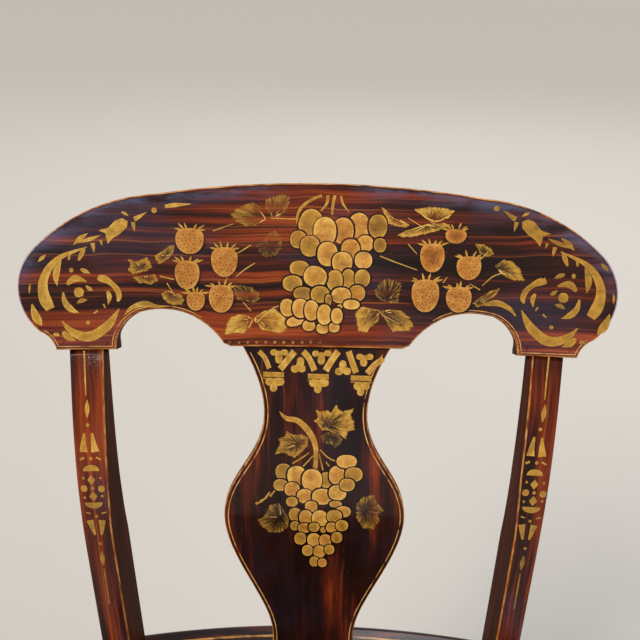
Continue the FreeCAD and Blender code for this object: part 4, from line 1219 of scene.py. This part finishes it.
        ((-174.6, 46.4, 0.7), (-171.8, 43.7, 3), (-169.6, 42.6, 0)),
        ((-181.1, 33.1, 0.7), (-177.5, 35, 3.4), (-173.6, 35.4, 0)),
        ((-190.7, 41, 1.1), (-189.6, 33.8, 3.9), (-185.4, 28.5, 4.5), (-179.3, 25.5, 0)),
        ((-164.5, 55.5, 0), (-165.3, 51.4, 2.9), (-162.4, 51.8, 5.7), (-156.6, 48.4, 3.8),
         (-152, 43.1, 4.1), (-150.7, 37.8, 3.6), (-152, 34.4, 1.5)),
        ((-159.2, 42.3, 1.8), (-157.8, 37.8, 3.5), (-158.9, 31.7, 0)),
        ((-162.2, 32.4, 1.6), (-160.8, 29.4, 0.9)), ((-169.1, 25.2, 0.9), (-166.2, 27.4, 1.6)),
        ((-191.7, 19.5, 0.7), (-186.3, 12.6, 4.4), (-179.2, 8.4, 6.8), (-171.4, 7.8, 7.6),
         (-164.1, 11.8, 7.1), (-157.2, 18.3, 5.9), (-150.7, 29, 0.7)),
        ((-147, 24.1, 0.7), (-142.2, 29.1, 3), (-135.5, 32.2, 4.2), (-130.3, 32.6, 4.6),
         (-123.6, 31.1, 2.3), (-111.7, 30.8, 0)),
    ),
    # the stroke of it that the right ear lacks
    "leftOnly": 14,
    "earShapes": (
        ((-165.4, 87.9), (-158.4, 90), (-153.2, 95.8), (-148.1, 97.5), (-144.3, 95.3), (-144.8, 90.7),
         (-149.6, 85.9), (-155.5, 82), (-158.7, 77.8), (-159.9, 82.6), (-160.2, 85.7), (-162.8, 86.9)),
        ((-140.4, 98.5), (-129.7, 102.9), (-134.5, 98.3), (-138.4, 95.2), (-139.6, 97.1)),
    ),
    "earDots": (
        (-124.9, 104, 4.1, 4.1), (-179.5, 41.3, 7.1, 7.6), (-173.4, 18.3, 2.9, 3), (-184.8, 57.9, 3, 3.6),
        (-196, 9.3, 4.4, 2.9),
    ),
    # the right ear is the same stencil turned over, laid a little off
    "rightEar": {"about": (179.5, 41.3), "turn": -4.0, "to": (184.8, 42.7)},
}


def turnedOver(points):
    look = crestMotifs["rightEar"]
    turn = math.radians(look["turn"])
    moved = []
    for a, b, *rest in points:
        x, y = -a - look["about"][0], b - look["about"][1]
        moved.append((look["to"][0] + x * math.cos(turn) - y * math.sin(turn),
                      look["to"][1] + x * math.sin(turn) + y * math.cos(turn), *rest))
    return moved


def makeCrestStencil():
    sheet = newFilm(crestFace)
    for (centre, rim), look in zip(crestMotifs["leaves"], crestMotifs["leafLook"]):
        addLeaf(sheet, centre, rim, *look)
    for stem in crestMotifs["thinStems"]:
        addStroke(sheet, stem, cover=0.75, tone=0.82, kind=0.2)
    for stem in crestMotifs["grapeStems"]:
        addStroke(sheet, stem, cover=0.95, tone=0.66)
    for grape in crestMotifs["grapes"]:
        addGrape(sheet, *grape)
    for i, berry in enumerate(crestMotifs["berries"]):
        addStrawberry(sheet, *berry, worn=1.0 if i in crestMotifs["wornBerries"] else 0.0)
    for i, dot in enumerate(crestMotifs["dropDots"]):
        addDot(sheet, *dot, *crestMotifs["dropDotSize"], cover=0.62 - 0.06 * abs(i - 5), tone=0.66)
    finishFilm("crestStencil", sheet, crestBronze)
    for name, lay, tone in (("Left", list, 0.74), ("Right", turnedOver, 0.58)):
        sheet = newFilm(crestFace)
        for i, stroke in enumerate(crestMotifs["ear"]):
            if name == "Left" or i != crestMotifs["leftOnly"]:
                addStroke(sheet, lay(stroke), tone=tone + random.uniform(-0.08, 0.06))
        for rim in crestMotifs["earShapes"]:
            addShape(sheet, lay(rim), tone=tone + 0.04)
        for dot in crestMotifs["earDots"]:
            addDot(sheet, *lay([dot])[0], tone=tone)
        finishFilm("earStencil" + name, sheet, crestBronze)


# colour and clouds of the painted sheen on the crest's upper edges: reflected light painted in
edgeSheenLook = {"cloud": (9, 30), "grey": "#5f5f7c"}


def edgeSheenPaint():  # painted sheen: clouds of grey violet along the top edge and the ears, standing in for light reflected by their rounded edges
    material, add = startMaterial("paintedEdgeSheen")
    ground, own = grainedColour(add, graining["crest"])
    cover = add("SeparateColor", [add("Attribute", attribute_name="tint")])
    cloud = figure(add, own, edgeSheenLook["cloud"], detail=5, shift=53)
    hazy = add("Math", (cover, add("MapRange", (cloud, 0.36, 0.62), **smooth)), **times)
    varnish(add, own, add("Mix", {0: hazy, 6: ground, 7: edgeSheenLook["grey"]}, **tinted))
    return material


# bands of painted sheen, (inset in mm, cover), along the upper edge of each half, above this share of the
# height
paintedSheen = {"bands": ((2, 0.62), (4, 0.6), (8, 0.3), (14, 0)), "above": 0.28, "middle": 20, "fadeOver": 12}


def makeEdgeSheen():
    sheet = newFilm(crestFace)
    lowest = paintedSheen["above"] * back["crestHeight"]
    loop = [spot for spot in crestOutline() if spot[1] > lowest and abs(spot[0]) > paintedSheen["middle"]]
    for sign in (-1, 1):
        edge = [spot for spot in loop if spot[0] * sign > 0]
        count = len(edge) - 2
        start = len(sheet["vertices"])
        for inset, cover in paintedSheen["bands"]:
            line = insetLine(edge, inset)[1:-1]
            for i, (a, b) in enumerate(line):
                faded = cover * min(1, i / paintedSheen["fadeOver"], (count - 1 - i) / paintedSheen["fadeOver"])
                addPoint(sheet, a, b, faded, 0, 0, (0, 0, 0))
        for k in range(len(paintedSheen["bands"]) - 1):
            for i in range(count - 1):
                p, q = start + k * count + i, start + (k + 1) * count + i
                sheet["faces"].append((p, p + 1, q + 1, q))
    finishFilm("crestEdgeSheen", sheet, edgeSheenPaint())


crestBronze = bronzeStencil("crest")
makeEdgeSheen()
makeCrestStencil()
print("crest stencilled")

splatMotifs = {
    # the whole stencil is laid a little left; the arcade is drawn in and grown to the neck
    "aside": -2,
    "band": (0.97, -1.2),
    "barGrow": 1.1,
    "underline": (3.1, 0.9),
    "middle": 5.2,
    "lobeGrow": 1.25,
    # the arcade: bars, caps with a thin line under them, and trefoils of three lobes
    "bars": (
        ((-43.5, 282.8, 3.2), (-38.6, 278.3, 3.3), (-34.9, 270.3, 3.3)),
        ((-14.5, 283.2, 4.6), (-20.5, 276.3, 4.6), (-25.9, 269.9, 4.6)),
        ((-7.4, 283.3, 4.2), (-2.4, 277.8, 4.3), (1.9, 269.2, 4.3)),
        ((20.9, 283.8, 4.6), (15.6, 276.8, 4.6), (10.9, 269.3, 4.7)),
        ((29.3, 283.9, 4.3), (31.9, 277.1, 4.3), (35.7, 268, 4.3)),
        ((57.7, 278.7, 4.2), (50.6, 273.9, 4.2), (44.8, 267.6, 4.2)),
    ),
    "caps": (
        ((-39.7, 265.9, 3.7), (-22.8, 265.7, 3.7)), ((-3.4, 265, 3.7), (13.5, 264.8, 3.7)),
        ((31.5, 264.2, 3.7), (48.4, 264, 3.7)),
    ),
    "trefoils": (
        ((-31.2, 282.2, 4.7, 3.7), (-22.7, 282.3, 4.7, 3.7), (-27.1, 278.4, 4.7, 6.7)),
        ((2.9, 281.8, 4.7, 3.7), (12.5, 282.4, 4.7, 3.7), (7.4, 277.3, 4.7, 6)),
        ((38.4, 280, 4.7, 3.7), (46.3, 280.1, 4.7, 3.7), (41.5, 276.1, 4.7, 5.2)),
        ((-9.6, 275.3, 4.7, 6), (-13.8, 270.1, 5.1, 4.5), (-8.4, 270.7, 5.1, 4.5)),
        ((24.7, 273.5, 4.7, 6), (21.8, 269, 5.1, 4.5), (28.4, 269.1, 5.1, 4.5)),
        ((-33.6, 260.6, 7.1, 4.9), (-26.9, 260.7, 7.1, 4.9), (-31.1, 256.1, 4.7, 5.3)),
        ((2, 260.1, 7.1, 4.9), (9.3, 260.2, 7.1, 4.9), (4.8, 255.5, 4.7, 5.3)),
        ((37.7, 258.3, 6.3, 4.9), (43.1, 258.4, 6.3, 4.9), (39.6, 254.3, 4.7, 5.3)),
    ),
    "leaves": (
        ((9.2, 228), ((2.3, 239.7), (6.6, 238.7), (11.4, 239.9), (15.1, 237.6), (18.6, 244.1),
          (22.4, 238.9), (32.8, 241.6), (30, 235.5), (33.5, 230.8), (33.6, 224.5), (28.7, 223.5),
          (27, 217.1), (23.4, 219.8), (17.9, 220.9), (12.9, 223.8), (7.5, 223.7), (4.3, 227.9),
          (0.6, 231.4), (4.3, 233.9))),
        ((13, 218.4), ((5.7, 219.5), (11.7, 222.6), (17.9, 222), (24.2, 217.1), (22.9, 213.4),
          (18.7, 209.6), (14.4, 212.9), (8.2, 213.4))),
        ((-11.3, 213), ((-21.1, 223.2), (-17.4, 220.3), (-8.9, 220.4), (-3.4, 218.1), (-3.9, 210.7),
          (-7.6, 206.9), (-14.6, 201.2), (-18.5, 203), (-23.4, 205.4), (-30.4, 203.8), (-28.3, 209),
          (-25.9, 214.1), (-28.1, 216.2), (-22.3, 219))),
        ((-25.7, 150), ((-45.2, 146.8), (-39.5, 149.8), (-34.5, 160.9), (-27, 163.1), (-22.1, 155.7),
          (-18.3, 148.7), (-19.3, 140.2), (-25.8, 135), (-34.7, 134.9), (-40.2, 139.7))),
        ((44, 158.3), ((35.7, 162.9), (41.1, 169.7), (51.2, 171.7), (52.4, 165.9), (58.9, 157.2),
          (54, 154.3), (55.8, 146.7), (50.8, 139.4), (42, 140.7), (36.1, 149.8))),
    ),
    "leafLook": ((0.85, 0.7), (0.6, 0.36), (0.8, 0.56), (0.62, 0.44), (0.6, 0.46)),
    "stems": (
        ((-26.7, 238.1, 0.4), (-21.2, 232.9, 3.5), (-12.7, 231.2, 4.3), (-5.3, 225.3, 4.8),
         (0.9, 215.7, 4.4), (2.8, 205.8, 3.6), (2.2, 192.6, 3.6)),
        ((-16, 196.7, 1.1), (-9.6, 200.7, 1.1), (-2.7, 205.7, 1)), ((-7.4, 194.4, 1.1), (0.5, 203.3, 1)),
        ((8.6, 191.5, 1), (5.3, 204.6, 1)), ((18.3, 199.2, 1.1), (12.1, 202.3, 1.1), (5.9, 208.4, 1)),
        ((13.4, 194.9, 1.1), (10.9, 198.5, 1.1)), ((-45.8, 161.6, 2.1), (-40.1, 163.9, 0.9)),
        ((-41.7, 163.9, 2.1), (-36.4, 167.5, 0.9)), ((-37.7, 166.6, 2), (-34, 172.4, 0.8)),
        ((-34, 168.4, 2), (-29.9, 173.7, 0.8)),
    ),
    "grapes": (
        (-23.4, 189.6, 11.7, 12.6, 0, 0.52), (-12.9, 186.6, 13.7, 14.9, 0, 0.86),
        (11.8, 183.1, 10.1, 12.3, 0, 0.52), (19.7, 187.1, 11.6, 14.3, 0, 0.74),
        (27.4, 198.8, 14.7, 10.1, 0, 0.86), (33.2, 188.1, 12.8, 11, 0, 0.52),
        (-25.2, 178.5, 10.5, 9.2, 0, 0.52), (-0.5, 182.9, 14.8, 17, 0, 0.86),
        (-15.9, 174.7, 11.1, 11.3, 0, 0.64), (-6, 168.9, 11.7, 11.4, 0, 0.74),
        (7.9, 169.1, 14.9, 12.7, 0, 0.74), (20.3, 172.7, 12.9, 12, 0, 0.86),
        (28.5, 179.5, 11.1, 9.9, 0, 0.52), (-16.1, 164.3, 8.7, 8, 0, 0.52),
        (-0.3, 160.2, 9.3, 8.9, 0, 0.64), (19, 162.6, 9.3, 5.3, 0, 0.52), (25.3, 155.8, 11.2, 9, 0, 0.74),
        (-13.7, 153, 9.4, 10.9, 0, 0.52), (-5.2, 150.4, 9.8, 11.9, 0, 0.64),
        (6.8, 149.2, 11.8, 13.8, 0, 0.86), (18.6, 151.5, 11.3, 10.5, 0, 0.52),
        (-13.9, 142.4, 6.9, 7.8, 0, 0.52), (-5.7, 140.4, 9.4, 8.4, 0, 0.64),
        (1.8, 141.3, 8.2, 7.8, 0, 0.52), (9.4, 139, 4.4, 5.1, 0, 0.52), (16.2, 141.6, 8.2, 8.4, 0, 0.64),
        (24.9, 143.2, 9.4, 9.3, 0, 0.52), (-9, 130.4, 9.1, 10.6, 0, 0.52), (1.7, 129.7, 9.9, 11.5, 0, 0.74),
        (11.6, 128.9, 9.1, 10.6, 0, 0.64), (20.6, 132, 8.2, 9.6, 0, 0.52), (-3.2, 118.8, 8.3, 9.8, 0, 0.64),
        (6.8, 118.1, 9.1, 10.8, 0, 0.74), (15, 120.2, 7.5, 8.8, 0, 0.52), (2.7, 108.1, 7.5, 9, 0, 0.52),
        (9.4, 107.2, 6.7, 8, 0, 0.64),
    ),
}


def inBand(point):  # the arcade is drawn in to the splat's neck
    narrow, aside = splatMotifs["band"]
    return (point[0] * narrow + aside, *point[1:])


def makeSplatStencil():
    sheet = newFilm(lambda a, b, lift: splatFace(a + splatMotifs["aside"], b, lift))
    for bar in splatMotifs["bars"]:
        bar = [(a, b, width * splatMotifs["barGrow"]) for a, b, width in map(inBand, bar)]
        addStroke(sheet, bar, tone=0.76 + random.uniform(-0.05, 0.05))
    for cap in splatMotifs["caps"]:
        cap = [inBand(point) for point in cap]
        addStroke(sheet, cap, tone=0.66)
        under, thin = splatMotifs["underline"]
        addStroke(sheet, [(a, b - under, thin) for a, b, width in cap], tone=0.6, cover=0.8)
    for trefoil in splatMotifs["trefoils"]:
        middle = [sum(lobe[k] for lobe in trefoil) / 3 for k in (0, 1)]
        addDot(sheet, *inBand(middle), splatMotifs["middle"], splatMotifs["middle"], tone=0.76)
        for a, b, width, height in trefoil:
            grow = splatMotifs["lobeGrow"]
            addDot(sheet, *inBand((a, b)), width * grow, height * grow, tone=0.76)
    for (centre, rim), look in zip(splatMotifs["leaves"], splatMotifs["leafLook"]):
        addLeaf(sheet, centre, rim, *look)
    for stem in splatMotifs["stems"]:
        addStroke(sheet, stem, tone=0.68, kind=0.15)
    for grape in splatMotifs["grapes"]:
        addGrape(sheet, *grape)
    finishFilm("splatStencil", sheet, splatBronze)


splatBronze = bronzeStencil("splat")
makeSplatStencil()
print("splat stencilled")

stileMotifs = {
    # a line, a lozenge, wedges and dashes above the row of circles at 186; their worn reflections below it
    "strokes": (
        ((-2.3, 295.7, 1.2), (-2.6, 278.7, 1.2), (-2.8, 261.3, 0.9)),
        ((-2, 257.8, 0.4), (-2.5, 250.8, 3.7), (-2.9, 243.7, 0.4)),
        ((-6.2, 232, 1.5), (-7.4, 223.9, 3.9), (-8, 216.6, 6.2)),
        ((-0.2, 231.7, 1.5), (0.4, 223.7, 4), (1.2, 216.4, 6.4)), ((-11.4, 210.3, 1.7), (-8, 212, 1.9)),
        ((1.4, 212.1, 1.5), (5, 210, 1.3)), ((-11.4, 165.6, 1.1), (-8, 164.4, 1.3)),
        ((0.8, 164.4, 1.3), (4.6, 165.4, 1.1)), ((-9.3, 158.6, 5.6), (-8, 151.6, 3.6), (-6.8, 145, 1.5)),
        ((0.4, 158.4, 5.6), (-0.6, 151.4, 3.6), (-1.6, 145, 1.5)),
        ((-3.6, 130, 0.4), (-3.8, 123, 3.6), (-4, 116, 0.4)),
        ((-4, 112.5, 0.9), (-4, 95, 1.1), (-4, 78, 1)),
    ),
    "dots": (
        (-3.1, 238.2, 2.7, 2.8), (-2.7, 211.2, 2.7, 2.8), (-10.2, 195.1, 2, 2.2), (3.3, 194.9, 2, 2.2),
        (-10.4, 186.3, 5.3, 5.7), (3.2, 185.7, 5.3, 5.7), (-3.8, 186.4, 2.7, 2.9), (-10.9, 178.5, 2.1, 2.3),
        (3.1, 179.6, 2.1, 2.2), (-3.5, 161.9, 2.4, 2.6), (-3.6, 137, 2.5, 2.6),
    ),
    "diamonds": ((-4.1, 193.4, 6.4, 8.4), (-4, 179.5, 6.5, 8.7)),
    # half moons: across, along, half width, height, and which way they curve
    "moons": ((-3.4, 203.4, 6.4, 5.2, 1), (-4.4, 171.6, 7.2, 5.2, -1)),
    # (height, shift across) of the column on each stile, and how far the right one sits lower
    "asideLeft": ((70, 1.0), (150, 0.8), (186, 0.4), (260, 0.0)),
    "asideRight": (
        (70, 4.0), (150, 4.0), (180, 5.0), (195, 4.4), (205, 2.9), (232, 2.4), (245, 4.2), (300, 4.4),
    ),
    "dropRight": 2.4,
    "dullBelow": 110,
    "dullOver": 120,
}


def makeStileStencil(side, sign):
    sheet = newFilm(stileFace(sign))
    drop = stileMotifs["dropRight"] if sign > 0 else 0

    def laid(points):
        return [(a + between(stileMotifs["aside" + side], s), s + drop, *rest) for a, s, *rest in points]

    def look(s):  # duller and thinner down the stile
        share = min(1, max(0, (s - stileMotifs["dullBelow"]) / stileMotifs["dullOver"]))
        return {"cover": 0.74 + 0.24 * share, "tone": 0.44 + 0.28 * share}

    for stroke in stileMotifs["strokes"]:
        addStroke(sheet, laid(stroke), **look(stroke[0][1]))
    for dot in stileMotifs["dots"]:
        addDot(sheet, *laid([dot])[0], **look(dot[1]))
    for a, s, width, height in laid(stileMotifs["diamonds"]):
        rim = [(a, s - height / 2), (a + width / 2, s), (a, s + height / 2), (a - width / 2, s)]
        addShape(sheet, rim, **look(s))
    for a, s, half, height, up in laid(stileMotifs["moons"]):
        turns = [t * math.pi / 10 for t in range(11)]
        arc = [(a + half * math.cos(t), s + up * height * (math.sin(t) - 0.5)) for t in turns]
        addShape(sheet, arc if up > 0 else arc[::-1], **look(s))
    finishFilm("stileStencil" + side, sheet, stileBronze)


stileBronze = bronzeStencil("stile")
makeStileStencil("Left", -1)
makeStileStencil("Right", 1)
print("stiles stencilled")


# Yellow striping, a long-haired brush drawn along the edges
stripes = {
    "crestInset": 2.6, "crestWidth": 0.65, "crestFrom": 88, "crestTo": 206, "crestBelow": 34,
    "splatInset": 3.4, "splatWidth": 0.8, "splatFoot": 6, "splatHead": 4,
    "seatInset": 17, "seatWidth": 2.2,
}


def addStripe(sheet, line, width, closed=True):
    sheet["layers"] += 1
    start = len(sheet["vertices"])
    count = len(line)
    for i, (a, b) in enumerate(line):
        after = line[(i + 1) % count] if closed or i < count - 1 else (a, b)
        before = line[i - 1] if closed or i else (a, b)
        ahead = Vector((after[0] - before[0], after[1] - before[1])).normalized()
        for side in (-1, 1):
            out = side * width / 2
            addPoint(sheet, a - ahead.y * out, b + ahead.x * out, 1, 0.8, 0, (i * 0.3, side, 7))
    for i in range(count if closed else count - 1):
        k = (i + 1) % count
        sheet["faces"].append((start + i * 2, start + k * 2, start + k * 2 + 1, start + i * 2 + 1))


def makeStripes():
    sheet = newFilm(crestFace)
    loop = insetLine(crestOutline(), stripes["crestInset"])
    for sign in (-1, 1):  # round each foot and up its arch
        edge = [spot for spot in loop if stripes["crestFrom"] < spot[0] * sign < stripes["crestTo"]
                and spot[1] < stripes["crestBelow"]]
        if sign > 0:
            edge = edge[:-1]
        addStripe(sheet, edge, stripes["crestWidth"], closed=False)
    finishFilm("crestStriping", sheet, striping)
    sheet = newFilm(splatFace)
    half = [(x, z) for x, z in splatHalf() if stripes["splatFoot"] < z < splatRise - stripes["splatHead"]]
    inset = insetLine(half, stripes["splatInset"])[1:-1]
    for sign in (-1, 1):
        addStripe(sheet, [(x * sign, z) for x, z in inset], stripes["splatWidth"], closed=False)
    finishFilm("splatStriping", sheet, striping)
    sheet = newFilm(lambda x, y, lift: ((x, y, seatTop(x, y) + lift), (y, seat["top"], x)))
    line = [tuple(Vector(spot) - n * stripes["seatInset"]) for spot, n in zip(seatLoop, seatNormals)]
    addStripe(sheet, line, stripes["seatWidth"])
    finishFilm("seatStriping", sheet, striping)


makeStripes()
print("striping drawn")


# Floor and light: a pale studio, soft from both sides
def paleFloor():
    material, add = startMaterial("paleFloor")
    closeMaterial(add, Base_Color="#d9d6d0", Roughness=0.9)
    return material


def makeFloor():
    mesh = bpy.data.meshes.new("floor")
    mesh.from_pydata([(-40, -40, 0), (40, -40, 0), (40, 40, 0), (-40, 40, 0)], [], [(0, 1, 2, 3)])
    mesh.materials.append(paleFloor())
    floor = bpy.data.objects.new("floor", mesh)
    bpy.context.scene.collection.objects.link(floor)


lamps = {
    # a high bank of lights, two soft discs, and a small lamp that glints in the varnish
    "bank": {"kind": "SUN", "place": (-3.2, -3.4, 4.6), "spread": 24, "power": 1.9, "colour": "#fff4e6"},
    "fill": {"kind": "AREA", "place": (3.6, -3.0, 3.6), "size": (2.6, 2.6), "power": 70, "colour": "#eef2ff"},
    "rim": {"kind": "AREA", "place": (0.8, 4.2, 4.4), "size": (2.0, 2.0), "power": 60, "colour": "#ffffff"},
    "glint": {"kind": "AREA", "place": (-0.73, -1.68, 1.16), "size": (0.10, 0.06), "power": 0.8,
              "colour": "#ffffff"},
}
lampsAim = Vector((0, 0.1, 0.6))  # all of them point at the middle of the back
backdrop = {"light": "#dcdcdc", "seen": "#e3dcd2", "strength": 0.55, "seenStrength": 0.715}


def makeLights():
    for name, look in lamps.items():
        lamp = bpy.data.lights.new(name, look["kind"])
        if look["kind"] == "SUN":
            lamp.angle = math.radians(look["spread"])
        else:
            lamp.shape = "ELLIPSE"
            lamp.size, lamp.size_y = look["size"]
        lamp.energy = look["power"]
        lamp.color = hexColour(look["colour"])[:3]
        stand = bpy.data.objects.new(name, lamp)
        bpy.context.scene.collection.objects.link(stand)
        stand.location = look["place"]
        stand.rotation_euler = (lampsAim - stand.location).to_track_quat("-Z", "Y").to_euler()
    # the backdrop looks as pale as the far floor, and gives no more light for it
    world = bpy.data.worlds.new("studio")
    world.use_nodes = True
    tree = world.node_tree
    add, background = partial(addNode, tree), tree.nodes["Background"]
    seen = add("LightPath", out="Is Camera Ray")
    colour = add("Mix", {0: seen, 6: backdrop["light"], 7: backdrop["seen"]}, **tinted)
    extra = add("Math", (seen, backdrop["seenStrength"] - backdrop["strength"]), **times)
    tree.links.new(colour, background.inputs["Color"])
    tree.links.new(add("Math", (extra, backdrop["strength"]), **plus), background.inputs["Strength"])
    bpy.context.scene.world = world


makeFloor()
makeLights()
bpy.context.scene.view_settings.view_transform = "Standard"
print("scene ready")
